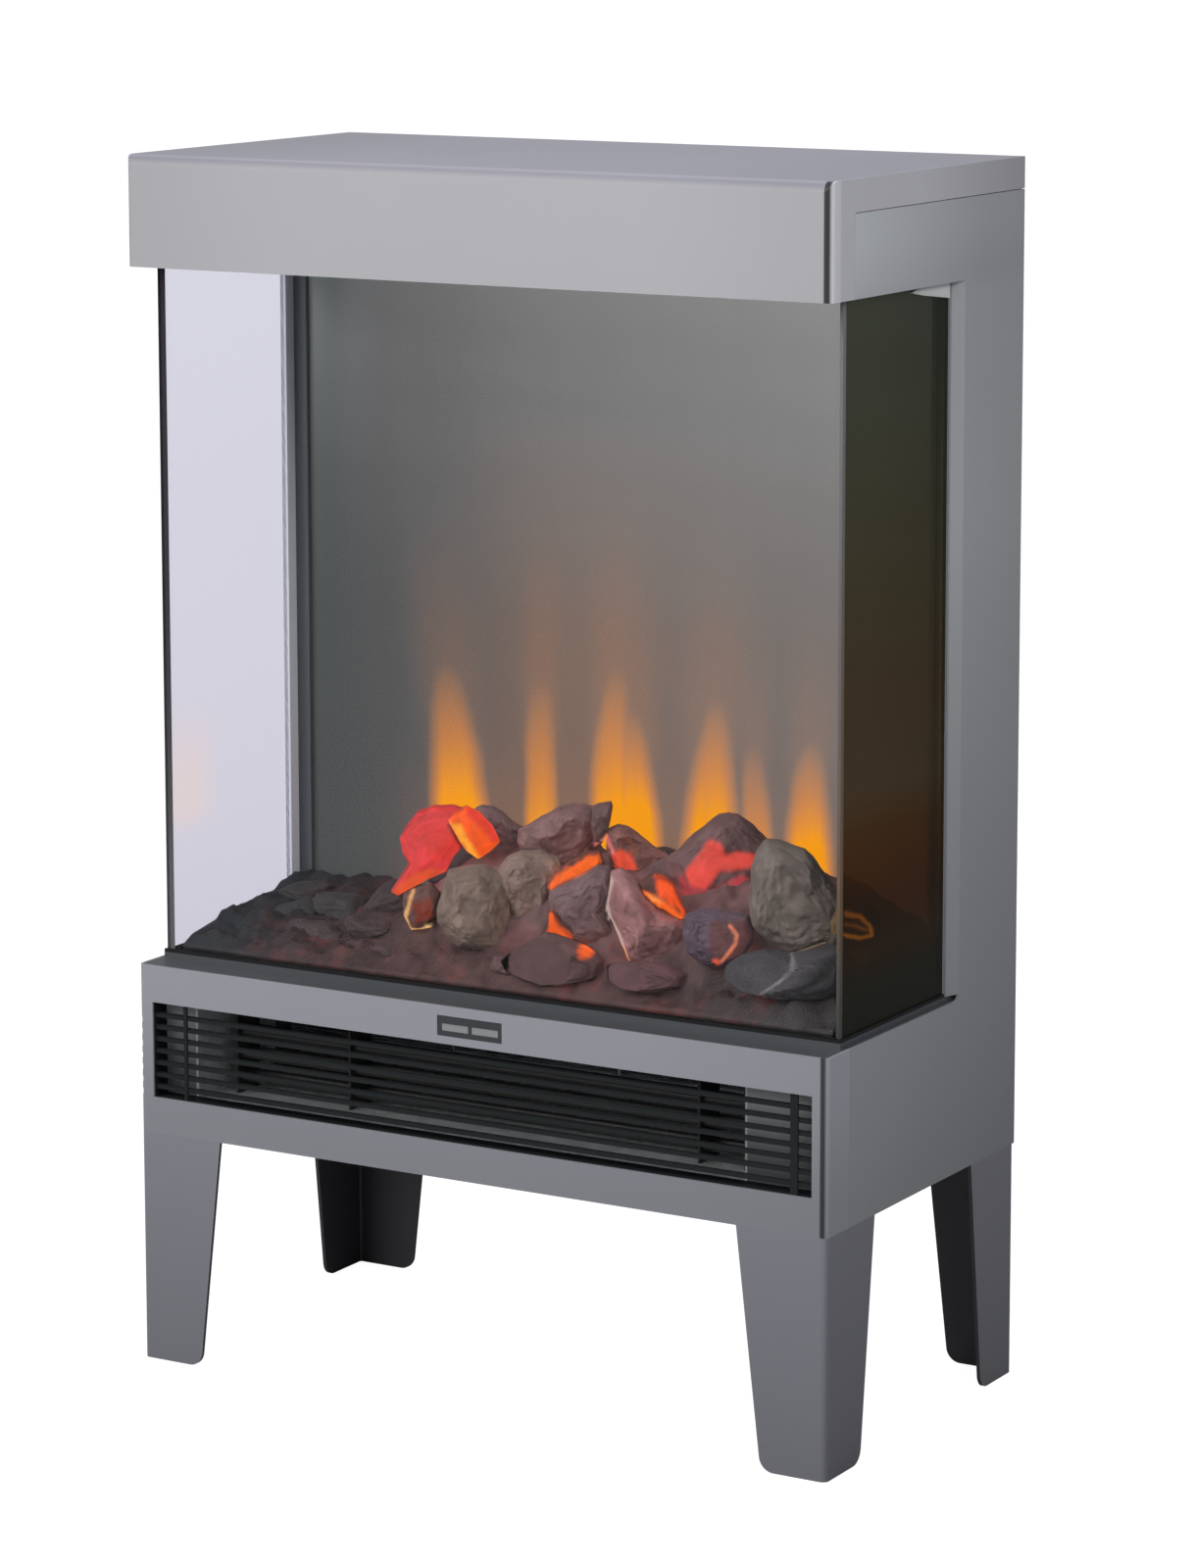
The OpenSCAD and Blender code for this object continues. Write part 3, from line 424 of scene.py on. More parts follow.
grille_mat = plastic("black_plastic_grille", (0.0175, 0.0205, 0.0222), 0.60, spec=0.14)
dress(grille_mat, "outlet_grille")
dress(plastic("bezel_plastic", (0.045, 0.050, 0.054), 0.38), "indicator_bezel")
dress(plastic("black_plastic", (0.019, 0.019, 0.021), 0.36), "control_plate", "cord_gland", "gland_nut")
dress(plastic("black_plastic_knob", (0.034, 0.034, 0.037), 0.33), "thermostat_knob", "switch_housings", "low_heat_rocker", "high_heat_rocker")
dress(plastic("red_plastic", (0.40, 0.025, 0.018), 0.26), "flame_rocker")
dress(plastic("ivory_plastic", (0.72, 0.70, 0.62), 0.40), "terminal_block", "thermostat_body", "thermal_cutout")
dress(plastic("bush_nylon", (0.80, 0.80, 0.76), 0.45), "spindle_bushes")
dress(plastic("black_seal", (0.010, 0.010, 0.011), 0.55, 900, 0.25, 0.3), "glass_foot_channel", "glass_head_channel")
# painted light and shade: the left-hand seal is given a near-white grey and the right-hand one a dark grey, standing
# for the light and the shade each lies in
seal_mat = plastic("grey_seal", (1.0, 1.0, 1.0), 0.5, 900, 0.2, 0.3)
seal_side = seal_mat.remap(seal_mat.xyz()[0], -0.01, 0.01)
seal_mat.set(Base_Color=seal_mat.mix(seal_side, (0.90, 0.93, 1.0), (0.30, 0.31, 0.33)))
dress(seal_mat, "rear_glass_seals")
dress(plastic("lens_plastic", (0.30, 0.31, 0.31), 0.22, 700, 0.05), "indicator_lenses")


def board(name):
    """Circuit board with a maze of tracks under the lacquer."""
    m = Mat(name)
    n = m.nt.nodes.new("ShaderNodeTexBrick")
    n.inputs["Scale"].default_value = 160
    n.inputs["Mortar Size"].default_value = 0.06
    m.put(n.inputs["Vector"], m.obj)
    f = n.outputs["Fac"]
    m.set(Base_Color=m.mix(f, (0.012, 0.10, 0.045), (0.05, 0.22, 0.10)), Roughness=0.3, Normal=m.bump(f, 0.15, 0.0002))
    return m

dress(board("circuit_board"), "ember_led_board", "flame_led_board", "control_board")


def mica_mat(name):
    m = Mat(name)
    sheets = m.noise(1.0, 4, 0.6, vec=m.scaled((60, 60, 900)))
    spots = m.voronoi(300)
    m.set(Base_Color=m.ramp(sheets, [(0.3, (0.026, 0.026, 0.025)), (0.7, (0.050, 0.049, 0.046))]),
          Roughness=m.math("MULTIPLY_ADD", spots, 0.2, 0.3), Normal=m.bump(sheets, 0.1, 0.0003))
    return m

dress(mica_mat("mica"), "heating_element")

# ------------------------------------------------------------------ glass

def pane(name, tint, ior, edge_axis, edge, low=None, clear_part=1.0, lamps=None, patch=None):
    """Float glass that lets the lamps through. Its cut edges carry painted light and shade, a colour that changes with
    height: warm where the fire's glow shows on the right-hand edges, darker further up the left-hand ones.
    """
    m = Mat(name)
    n = m.xyz(m.co.outputs["Normal"])[edge_axis]
    rim = m.remap(m.math("ABSOLUTE", n), 0.4, 0.8)
    height = m.remap(m.xyz()[2], 0.21, 0.58, smooth=False)
    stops = lambda pairs: [((z - 0.21) / 0.37, c) for z, c in pairs]
    # painted light and shade on the cut edges, by height
    right_rim = m.ramp(height, stops([(0.214, (0.075, 0.076, 0.08)), (0.25, (0.115, 0.097, 0.085)), (0.275, (0.17, 0.12, 0.075)),
                                      (0.30, (0.20, 0.13, 0.09)), (0.33, (0.19, 0.145, 0.115)), (0.38, (0.185, 0.158, 0.14)),
                                      (0.45, (0.20, 0.19, 0.185)), (0.573, (0.26, 0.26, 0.275))]))
    left_rim = m.ramp(height, stops([(0.214, (0.150, 0.146, 0.156)), (0.255, (0.142, 0.139, 0.148)), (0.295, (0.100, 0.100, 0.110)),
                                     (0.335, (0.076, 0.076, 0.084)), (0.40, (0.058, 0.055, 0.064)), (0.573, (0.046, 0.042, 0.053))]))
    rim_colour = m.mix(m.remap(m.xyz()[0], -0.01, 0.01), left_rim, right_rim)
    # painted light and shade in the tint: on the left pane darker low down, on the right pane warm where the fire's
    # glow shows through and greyer at the top
    tint_in = tint if low is None else m.ramp(height, stops(low))
    if patch:
        # painted reflection of the flames: a faint warm bloom near the front edge, in y and z
        (y0, y1), (z0, z1, z2, z3), colour = patch
        on = m.math("MULTIPLY", m.remap(m.xyz()[1], y0, y1, 1, 0),
                    m.math("MULTIPLY", m.remap(m.xyz()[2], z0, z1), m.remap(m.xyz()[2], z2, z3, 1, 0)))
        tint_in = m.mix(on, tint_in, m.mix(1.0, tint_in, colour, "MULTIPLY"))
    m.set(Base_Color=m.mix(rim, tint_in, rim_colour), Transmission_Weight=m.math("MULTIPLY_ADD", rim, -clear_part, clear_part))
    m.p.inputs["Roughness"].default_value = 0.0
    m.p.inputs["IOR"].default_value = ior
    clear = m.nt.nodes.new("ShaderNodeBsdfTransparent")
    clear.inputs["Color"].default_value = (*(lamps or tint), 1)
    path = m.nt.nodes.new("ShaderNodeLightPath")
    mix = m.nt.nodes.new("ShaderNodeMixShader")
    straight = m.math("MAXIMUM", path.outputs["Is Shadow Ray"], path.outputs["Is Diffuse Ray"])
    m.nt.links.new(straight, mix.inputs["Fac"])
    m.nt.links.new(m.p.outputs[0], mix.inputs[1])
    m.nt.links.new(clear.outputs[0], mix.inputs[2])
    m.nt.links.new(mix.outputs[0], m.out.inputs["Surface"])
    return m

dress(pane("clear_glass", (0.965, 0.965, 0.965), 1.17, 0, (0.022, 0.018, 0.028)), "front_glass")
dress(pane("clear_glass_side", (0.735, 0.720, 0.815), 1.20, 1, (0.022, 0.018, 0.028),
           [(0.22, (0.60, 0.585, 0.675)), (0.36, (0.665, 0.65, 0.745)), (0.57, (0.70, 0.69, 0.79))], lamps=(0.90, 0.90, 0.93),
           patch=((-0.062, -0.030), (0.270, 0.288, 0.300, 0.350), (1.13, 1.0, 0.90))), "left_glass")
dress(pane("smoked_glass", (0.125, 0.125, 0.095), 1.12, 1, (0.03, 0.03, 0.03),
           [(0.234, (0.070, 0.072, 0.048)), (0.253, (0.120, 0.070, 0.034)), (0.272, (0.098, 0.045, 0.014)),
            (0.292, (0.138, 0.058, 0.013)), (0.311, (0.159, 0.078, 0.020)), (0.330, (0.180, 0.125, 0.060)),
            (0.350, (0.180, 0.125, 0.066)), (0.378, (0.176, 0.120, 0.064)), (0.427, (0.158, 0.136, 0.072)),
            (0.475, (0.150, 0.146, 0.090)), (0.552, (0.140, 0.153, 0.111))], 0.80), "right_glass")

# ------------------------------------------------------------------ flame screen

FOOT = 236
FLAMES = [
    # x at the foot, half width there, tip z, lean of the tip, taper, full below z, gone above z, gain (mm)
    (-87.4, 21, 374, -14.8, 0.70, 290, 368, 0.97),
    (-41.7, 9.6, 378, 0, 0.25, 272, 366, 0.92),
    (-2.0, 15, 382, 6, 0.70, 300, 375, 0.91),
    (20.0, 16, 348, -9, 0.70, 298, 350, 1.00),
    (56.0, 21, 354, 8, 0.80, 296, 362, 0.95),
    (88.5, 11, 340, -4, 0.60, 285, 340, 0.75),
    (116.0, 16, 347, 3, 0.70, 289, 343, 1.00),
]

def screen_material():
    m = Mat("screen_acrylic")
    x, y, z = m.xyz()
    wob = m.noise(1.0, 2, 0.5, vec=m.scaled((11, 0, 18)))
    wob = m.math("MULTIPLY_ADD", wob, 0.008, -0.004)
    xw = m.math("ADD", x, wob)
    total = None
    for x0, w0, tip, lean, taper, full, gone, gain in FLAMES:
        t = m.remap(z, FOOT * MM, (tip + 26) * MM, smooth=False)
        xc = m.math("MULTIPLY_ADD", t, lean * 1.18 * MM, x0 * MM)
        off = m.math("ABSOLUTE", m.math("SUBTRACT", xw, xc))
        w = m.math("POWER", m.math("SUBTRACT", 1.0, t), taper)
        w = m.math("MULTIPLY_ADD", w, w0 * 0.93 * MM, 0.0018)
        # sharp sides low down, softer ones towards the tip
        edge = m.remap(m.math("DIVIDE", off, w), m.math("MULTIPLY_ADD", t, -0.72, 0.68),
                       m.math("MULTIPLY_ADD", t, 0.66, 1.18), 1, 0)
        fade = m.math("MINIMUM", m.remap(z, (full - 22) * MM, gone * MM, gain * 1.22, 0, smooth=False), 1.0)
        f = m.math("MULTIPLY", edge, fade)
        # the dim veil of light round each flame and above it
        veil = m.remap(off, w0 * 0.25 * MM, (w0 * 1.1 + 5) * MM, 0.13 * gain, 0)
        veil = m.math("MULTIPLY", veil, m.remap(z, (gone - 25) * MM, (gone + 85) * MM, 1, 0))
        f = m.math("MAXIMUM", f, veil)
        total = f if total is None else m.math("MAXIMUM", total, f)
    halo = m.math("MULTIPLY", m.remap(z, 0.255, 0.335, 0.17, 0), m.remap(x, -0.150, -0.085))
    total = m.math("MAXIMUM", total, halo)
    streak = m.noise(1.0, 3, 0.55, vec=m.scaled((210, 0, 9)))
    total = m.math("MULTIPLY", total, m.math("MULTIPLY_ADD", streak, 0.40, 0.83))
    flame = m.ramp(total, [(0.0, (0, 0, 0)), (0.12, (0.055, 0.018, 0.002)), (0.25, (0.165, 0.055, 0.002)),
                           (0.45, (0.34, 0.105, 0.001)), (0.65, (0.53, 0.165, 0.001)), (0.82, (0.72, 0.24, 0.001)),
                           (1.0, (0.93, 0.33, 0.001))])
    # painted light and shade in the screen's grey: darker at the left and through the lower middle, lighter towards the
    # right and at the top
    across = line(m, x, [(-0.184, 0.50), (-0.172, 0.48), (-0.160, 0.498), (-0.140, 0.51), (-0.120, 0.56),
                         (-0.095, 0.615), (-0.060, 0.728), (-0.020, 0.825), (0.030, 0.897), (0.080, 0.995),
                         (0.125, 1.11), (0.150, 1.14), (0.184, 0.84)], -0.19, 0.19)
    down = line(m, z, [(0.230, 0.182), (0.290, 0.170), (0.320, 0.162), (0.350, 0.170), (0.380, 0.178),
                       (0.420, 0.202), (0.460, 0.238), (0.500, 0.345), (0.530, 0.53), (0.566, 0.65)], 0.22, 0.57)
    cloud = m.math("MULTIPLY_ADD", m.noise(7, 3, 0.5), 0.06, 0.97)
    grain = m.math("MULTIPLY_ADD", m.noise(1.0, 3, 0.6, vec=m.scaled((70, 0, 5))), 0.08, 0.96)
    keep = m.math("SUBTRACT", 1.0, m.math("POWER", total, 1.8), clamp=True)
    keep = m.math("MULTIPLY", keep, m.math("MULTIPLY", cloud, grain))
    k = m.math("MULTIPLY", m.math("MULTIPLY", across, down), keep)
    # the sheet is translucent and carries a faint grey light of its own; this glow is partly painted light, made
    # stronger towards the top where the hood shades the sheet and dimmer in the top-left corner
    own = line(m, z, [(0.220, 0.046), (0.300, 0.048), (0.325, 0.053), (0.346, 0.050), (0.386, 0.048), (0.427, 0.055),
                      (0.447, 0.061), (0.468, 0.070), (0.488, 0.080), (0.508, 0.097), (0.528, 0.122), (0.543, 0.137),
                      (0.556, 0.150), (0.566, 0.155)], 0.22, 0.57)
    corner = m.math("MULTIPLY", m.remap(x, -0.150, -0.172), m.remap(z, 0.49, 0.535))
    own = m.math("MULTIPLY", own, m.math("MULTIPLY_ADD", corner, -0.38, 1.0))
    own = m.math("MULTIPLY", m.math("MULTIPLY", across, own), keep)
    # painted light: the lower middle of the screen is tinted warm, for the glow of the lamps behind it
    warm = m.math("MULTIPLY", line(m, x, [(-0.115, 0.0), (-0.090, 0.30), (-0.067, 0.74), (-0.030, 1.0), (0.0, 0.95),
                                          (0.033, 0.70), (0.085, 0.40), (0.121, 0.27), (0.150, 0.25)], -0.19, 0.19),
                  line(m, z, [(0.320, 0.95), (0.360, 0.92), (0.383, 0.83), (0.403, 0.60), (0.430, 0.42),
                              (0.460, 0.25), (0.500, 0.0)], 0.22, 0.57))
    tone = m.mix(warm, m.mix(m.remap(x, -0.185, -0.13), (0.90, 0.99, 0.968), (1.0, 1.0, 1.0)), (1.50, 1.0, 0.77))
    base = m.mix(1.0, tone, m.join(k, k, k), "MULTIPLY")
    glow = m.mix(1.0, m.mix(1.0, tone, m.join(own, own, own), "MULTIPLY"), flame, "ADD")
    m.set(Base_Color=base, Roughness=0.42, Emission_Color=glow)
    m.p.inputs["Emission Strength"].default_value = 1.0
    m.p.inputs["Specular IOR Level"].default_value = 0.08
    return m

dress(screen_material(), "flame_screen")

# ------------------------------------------------------------------ fuel bed and coals

def rock_mesh(sub, seed, planes, soft, rough):
    """A lump chipped by random planes, as unit-size points and faces."""
    bm = bmesh.new()
    bmesh.ops.create_icosphere(bm, subdivisions=sub, radius=1.0)
    pts = np.array([v.co[:] for v in bm.verts])
    faces = [[v.index for v in f.verts] for f in bm.faces]
    bm.free()
    pts /= np.linalg.norm(pts, axis=1)[:, None]
    rng = np.random.RandomState(seed)
    m = rng.normal(size=(planes, 3))
    m /= np.linalg.norm(m, axis=1)[:, None]
    d = rng.uniform(0.72, 1.0, planes)
    q = np.maximum(pts @ m.T, 0) / d
    r = np.maximum((q ** soft).sum(1), 1e-9) ** (-1 / soft)
    r = np.minimum(r, 1.12)
    pts = pts * r[:, None]
    off = Vector(rng.uniform(-50, 50, 3))
    bump = np.array([noise.fractal(Vector(p) * 2.6 + off, 0.7, 2.1, 5) for p in pts])
    fine = np.array([noise.fractal(Vector(p) * 9.0 + off, 0.8, 2.0, 3) for p in pts])
    pts *= (1 + rough * bump + rough * 0.22 * fine)[:, None]
    return pts, faces

DECK = 214.0
BED_X, BED_Y0, BED_Y1 = 191.2, -77.2, 33.4

def bed_base(y):
    return DECK + 1.5 + (y - BED_Y0) * 0.122

# Lumps seen from the front corner: name, centre (x, y, z), rim as (across, up) from the centre in the upright
# plane that faces that corner, then the light painted on it as emission, where the red and orange fills stand for the
# lamps' glow through the resin and the pale, grey and gold lines are painted highlights on edges and cracks: fill or
# line, sRGB colour, line width, points (mm)
LUMPS = [
    ("gold_edge", (183, -37, 263),
     [(-14.0, 1.0), (-10.0, 7.0), (-3.0, 8.5), (4.0, 4.5), (8.5, -2.0), (7.5, -8.0), (1.0, -12.0), (-8.0, -11.0), (-13.0, -6.0)],
     [
      ("line", (330, 262, 112), 0.9, [(-6.5, 5.5), (0.5, 4.0), (5.0, -0.5), (6.2, -5.5), (0.8, -6.5), (-7.0, -5.0)]),
      ("line", (240, 196, 112), 0.7, [(-7.0, 0.5), (-1.0, -0.5), (3.5, -2.5)]),
     ]),
    ("crimson", (-67, -27, 276),
     [(-18.2, 1.7), (-15.3, 8.2), (-8.8, 15.9), (-0.7, 18.9), (9.3, 19.2), (15.4, 17.2), (16.2, 10.7), (16.6, 2.4), (13.7, -3.3), (9.1, -7.7), (7.2, -12.4), (5.5, -15.6), (-4.2, -19.7), (-12.3, -24.2), (-19.6, -28.5), (-23.3, -26.3), (-18.7, -18.9), (-13.8, -11.5), (-17, -5.7)],
     [
      ("fill", (222, 72, 72), 0, [(-18.8, 1.7), (-15.2, 9.1), (-8.7, 16.9), (-0.7, 19.5), (9.3, 19.9), (13.8, 17.5), (9.3, 13.9), (7.3, 10.7), (11.3, 1.6), (14.5, -5), (9.1, -8.7), (5.5, -16.5), (-4.2, -20.6), (-12.3, -25.2), (-19.6, -29.1), (-23.9, -26.8), (-19, -18.9), (-14.1, -11.5), (-17.6, -5.7)]),
      ("fill", (225, 92, 60), 0, [(-23.3, -26.3), (-18.7, -21.4), (-10.6, -14), (-2.5, -12.3), (5.6, -14), (-4.2, -19.7), (-12.3, -24.2), (-19.6, -28.8)]),
      ("fill", (222, 70, 64), 0, [(-0.7, 10.7), (7.3, 9), (12.9, -1.7), (8.8, -8.2), (-0.9, -7.7), (-5.6, 0)]),
     ]),
    ("orange_facet", (-39, -33, 285),
     [(-13.6, 5.7), (-10.8, 9.8), (-4.7, 13.9), (2.5, 9.8), (8.8, 3.2), (12.5, -4.9), (7.1, -10.6), (1.5, -14.2), (-4.1, -10.3), (-8.8, -4.1)],
     [
      ("fill", (255, 98, 47), 0, [(-14, 6.1), (-10.8, 10.6), (-4.7, 14.5), (2.5, 10.4), (9.3, 3.7), (13.1, -4.9), (7.6, -11.3), (1.5, -14.9), (-4.4, -10.9), (-9.3, -4.4)]),
      ("fill", (255, 165, 60), 0, [(-13.4, 5.7), (-7.2, 5.4), (-4.8, 0), (-0.8, -6.5), (2.3, -12.6), (-0.1, -13.5), (-4.4, -9.9), (-8.8, -3.7)]),
      ("fill", (232, 72, 60), 0, [(-4.7, 14.2), (2.5, 10.4), (9.3, 3.7), (12.8, -4.4), (8.8, -4.9), (2.4, 4.1), (-3.9, 9.8)]),
     ]),
    ("behind_left", (-39, -5, 277),
     [(-15.3, 14.8), (-12, 17.1), (-5.6, 16.8), (0.1, 13.2), (4.9, 8.5), (10.5, 4.9), (15.3, -1.7), (13.7, -11.6), (2.3, -18.1), (-7.3, -14.8), (-13.7, 0)],
     [
     ]),
    ("hump", (2, -15, 284),
     [(-22.3, 3.3), (-15.9, 6.5), (-11.1, 9.8), (-5.5, 12.5), (-1.6, 15.1), (4.8, 16.7), (11.2, 16.2), (15.7, 14.9), (20.8, 5.7), (21.1, -2.5), (14.3, -12.2), (4.7, -17.1), (-4.8, -18.7), (-12.8, -17.1), (-19.2, -10.5), (-23.2, -3.2)],
     [
      ("line", (200, 110, 105), 0.7, [(16.8, -3.3), (20, -0.8), (22, 0.4)]),
     ]),
    ("peak", (29, -21, 295),
     [(-4.9, 7.6), (-2.4, 9.4), (4.8, 10.8), (5.6, 8.1), (4.6, 1.6), (3, -4.8), (0.5, -10.5), (-3.7, -10.5), (-5.5, -1.6)],
     [
      ("line", (205, 120, 115), 0.7, [(0.5, -8.9), (2.7, -6.5), (4.7, -10.5)]),
     ]),
    ("dome", (44, -13, 280),
     [(-14.2, 11.3), (-8.7, 13.7), (-4, 12.9), (0.8, 9.7), (5.5, 5.6), (9.5, 2.4), (16.6, -2.8), (15.1, -10.5), (8.7, -16.2), (0.8, -17), (-7.1, -13.7), (-12.7, -7.3), (-15, 2.5)],
     [
      ("fill", (228, 84, 62), 0, [(-11.6, 1.2), (-7.1, 2.8), (-2.1, 0.3), (0.5, -7.3), (-1.6, -10.2), (-7.1, -9.4), (-10.6, -6.8)]),
      ("line", (210, 110, 110), 0.7, [(-14.7, 8.9), (-13.1, 4.9), (-11.1, 0.8)]),
      ("fill", (130, 75, 45), 0, [(-5.5, 8.9), (-2.4, 7.3), (0.8, 0.8), (-1.6, 0)]),
     ]),
    ("right_hump", (94, -15, 281),
     [(-26.7, 0.8), (-21.2, 4.8), (-17.3, 8.8), (-12.6, 13.6), (-7.9, 16.8), (-4, 20.8), (-0, 23.3), (4.6, 23.9), (9.3, 23.3), (13.3, 20.7), (17.2, 17.5), (21.1, 13.5), (25.8, 8.7), (24.3, -6.4), (17.3, -19.2), (6.3, -27.2), (-4.7, -27.2), (-15.7, -24), (-21.9, -16), (-26.6, -8)],
     [
      ("fill", (222, 82, 72), 0, [(-5.5, 13.1), (-0, 11.5), (2.8, 5.4), (9.4, 7), (17.5, 5.1), (16.9, -1.3), (7.8, -2.9), (0, -3.5), (-3.9, -8.3), (-7.8, -13.6), (-14.1, -13.1), (-16.8, -4.8), (-12.9, 3.2), (-8.6, 9.9)]),
      ("fill", (165, 70, 75), 0, [(-19.6, -4.8), (-14.1, -11.2), (-4.7, -12.8), (3.2, -9.6), (11, -4.8), (15.7, -9.6), (11, -20.8), (1.6, -27.2), (-9.4, -27.2), (-17.2, -24), (-21.2, -12.8)]),
      ("fill", (232, 125, 80), 0, [(-6.2, -16.8), (0, -15.2), (5.5, -18.4), (4.8, -24.8), (-0.7, -26.6), (-5.4, -23.2)]),
     ]),
    ("big_grey", (155, -43, 274),
     [(-17.7, 29), (-10.9, 28.5), (-3.2, 25.4), (2.2, 23.8), (6.3, 20), (10.7, 13.3), (15.3, 7.8), (19.9, 1.8), (25.3, -4.7), (26.2, -17.3), (20.1, -21.2), (10.9, -22.8), (2.4, -25.9), (-6, -28.6), (-12.2, -25.4), (-18.3, -20.4), (-23.7, -14.1), (-25.6, -1.5), (-24.1, 14.1), (-21.6, 23.5)],
     [
      ("line", (150, 135, 112), 1.2, [(-0.7, -26.1), (4.7, -24.3), (10.9, -22.1), (20.1, -20.4), (25.4, -17.3)]),
     ]),
    ("left_grey", (-26, -55, 250),
     [(-13.4, 20.3), (-4.6, 22.4), (2.5, 23.5), (7.3, 22.7), (11.2, 19.7), (15.9, 16.2), (18.3, 8.1), (18.8, -8.1), (18.5, -24.4), (11, -23.9), (1.5, -21.8), (-8, -18.7), (-15.2, -13), (-19.1, -6.5), (-19.7, 0), (-17.1, 6.5), (-15, 14.6)],
     [
     ]),
    ("mid_grey", (-4, -37, 261),
     [(-16.6, 8.9), (-11.8, 15.1), (-3.9, 18.6), (5.6, 18.6), (13.5, 15), (16.7, 8.9), (15.1, -0.8), (12.7, -10.6), (9.5, -17.1), (-0.9, -21.9), (-8.8, -20.3), (-12.7, -7.3), (-15.9, 2.5)],
     [
      ("line", (120, 112, 95), 1.3, [(12.8, 18.6), (13.9, 15.4), (15.1, 12.9)]),
     ]),
    ("slab", (25, -39, 271),
     [(-15.6, -6.7), (-13.4, -3.2), (-11, 0.7), (-5.5, 4.8), (4, 10.9), (11.5, 12.5), (14.2, 5.6), (13.7, -2.4), (-0.8, -10.5), (-11.9, -13.7)],
     [
      ("fill", (255, 110, 48), 0, [(-14.1, -5.8), (-11.8, -0.8), (-5.5, 3.6), (4, 10), (10.9, 11.2), (12.2, 7.1), (5.5, 2.4), (-2.4, -1.6), (-10.3, -5.6), (-13.1, -8.4)]),
     ]),
    ("fork", (24, -64.7, 242.8),
     [(-15.3, -19.3), (-13.7, -12.8), (-9.5, -5.6), (-4.7, 0.8), (-1.4, 8), (-0.7, 14.1), (2.1, 14.5), (5.5, 8), (13.1, 2.7), (11.8, -2), (5.5, -3.2), (0.8, -6.4), (-5.6, -14.5), (-11.1, -20.9)],
     [
      ("line", (255, 108, 50), 2, [(-14.4, -18), (-10.6, -11.2), (-5.8, -4), (-1.4, 1.6), (1.1, 6.4), (1.1, 12.8)]),
      ("fill", (250, 100, 46), 0, [(-1.4, 0.8), (0.8, 6.4), (1.1, 12.8), (2.7, 11.2), (5.5, 6.7), (12.1, 1.9), (11.2, -0.7), (5.5, 0.6), (2, 0.8)]),
     ]),
    ("centre", (35, -47, 256),
     [(-18, 8.5), (-10.2, 12.9), (-0.7, 18.1), (6.3, 22.4), (12.1, 21.9), (14.6, 15.2), (13.7, 7.2), (12.1, -0.8), (13, -7.3), (16.8, -12.1), (19.9, -19.3), (17.3, -23.7), (5.5, -22.5), (-5.5, -19.3), (-10.3, -15.3), (-15, -8.8), (-17.8, -2.4), (-18.8, 4)],
     [
      ("fill", (252, 108, 48), 0, [(-17.7, 12.4), (-15.7, 16.1), (-10.2, 20.1), (-0.7, 26.1), (5.9, 27.7), (7.1, 24), (0.8, 19.2), (-7, 15.3), (-14.9, 11.7)]),
      ("line", (190, 165, 155), 0.8, [(14.6, 20.8), (13.7, 15.2), (11.8, 7.2), (11, 2.4), (12.1, -4), (14.1, -8.1), (16.5, -12.1), (19, -18.5), (20.4, -23.4)]),
      ("line", (232, 140, 90), 1, [(19.9, -21.7), (21.2, -26.6), (22.5, -28.8)]),
      ("fill", (245, 100, 45), 0, [(-17.8, -2.4), (-15.7, -4.8), (-13.4, -8.8), (-7.1, -13.3), (-7.7, -15.3), (-13.4, -14.4), (-17.3, -12), (-18.9, -8.8)]),
     ]),
    ("centre_right", (72, -49, 252),
     [(-18.2, 27.1), (-13.2, 28.7), (-5.4, 23.1), (-0.8, 15.9), (7, 8.7), (16.4, 4.8), (19.5, -0), (20.1, -12.8), (16.4, -20), (7, -23.2), (-3.9, -22.3), (-9.4, -19.1), (-12.5, -11.1), (-16.4, -1.6), (-19.8, 6.4), (-19.2, 17.5)],
     [
      ("line", (190, 165, 155), 0.8, [(-17.9, 23.9), (-19.8, 16), (-20.6, 11.2), (-19.2, 4.8), (-17.1, 0.8), (-14.5, -3.2), (-12.3, -9.5), (-10.9, -14.3)]),
      ("line", (235, 140, 85), 1.2, [(-12.3, -10.3), (-10.9, -15.1), (-8.9, -20.1)]),
     ]),
    ("two_lobes", (81, -49, 268),
     [(-12.7, 6.4), (-7.8, 10), (-3.9, 11.6), (-0, 10), (4.7, 6.3), (7.8, -0), (12.1, -10), (9.3, -12.7), (1.6, -8.7), (-4.7, -4.8), (-9.6, 0)],
     [
      ("fill", (255, 110, 48), 0, [(-10.6, 2.1), (-7.8, 2.7), (0, -1.6), (6.2, -6.4), (10.9, -11.1), (8.6, -12.3), (1.6, -8.1), (-4.7, -4.3), (-9.3, -0.5)]),
      ("fill", (255, 95, 50), 0, [(-4.7, 10.6), (-0.8, 10), (4.2, 6.3), (7.5, -0.5), (11.2, -9.6), (8.6, -8), (3.1, -3.2), (-2.3, 1.6), (-3.9, 6.4)]),
      ("fill", (255, 150, 80), 0, [(-9.3, 2.1), (-4.7, 1.1), (0, -2.7), (-3.9, -3.6), (-7.8, -1.1)]),
     ]),
    ("right_low", (118, -59, 253),
     [(-16.9, 11), (-7.7, 13.9), (4.6, 12.6), (14.6, 11), (17.2, 4.7), (16.2, -4), (10.8, -11), (1.6, -15.4), (-7.7, -14.2), (-15.4, -8.6), (-18.2, 1.6)],
     [
      ("fill", (94, 66, 64), 0, [(-4.6, 9.4), (12.3, 10.2), (16.2, 3.1), (12.3, -6.3), (0, -12.6), (-4.6, -6.3)]),
      ("line", (215, 125, 95), 0.8, [(5.4, 7.1), (8.5, 3.1), (7.7, -1.6), (3.9, -7.1), (0.8, -11)]),
      ("fill", (235, 100, 70), 0, [(-3.8, -9.8), (-0.8, -8.7), (0.8, -12.6), (-1.5, -14.5)]),
     ]),
    ("small_left", (-59.3, -52.8, 246.5),
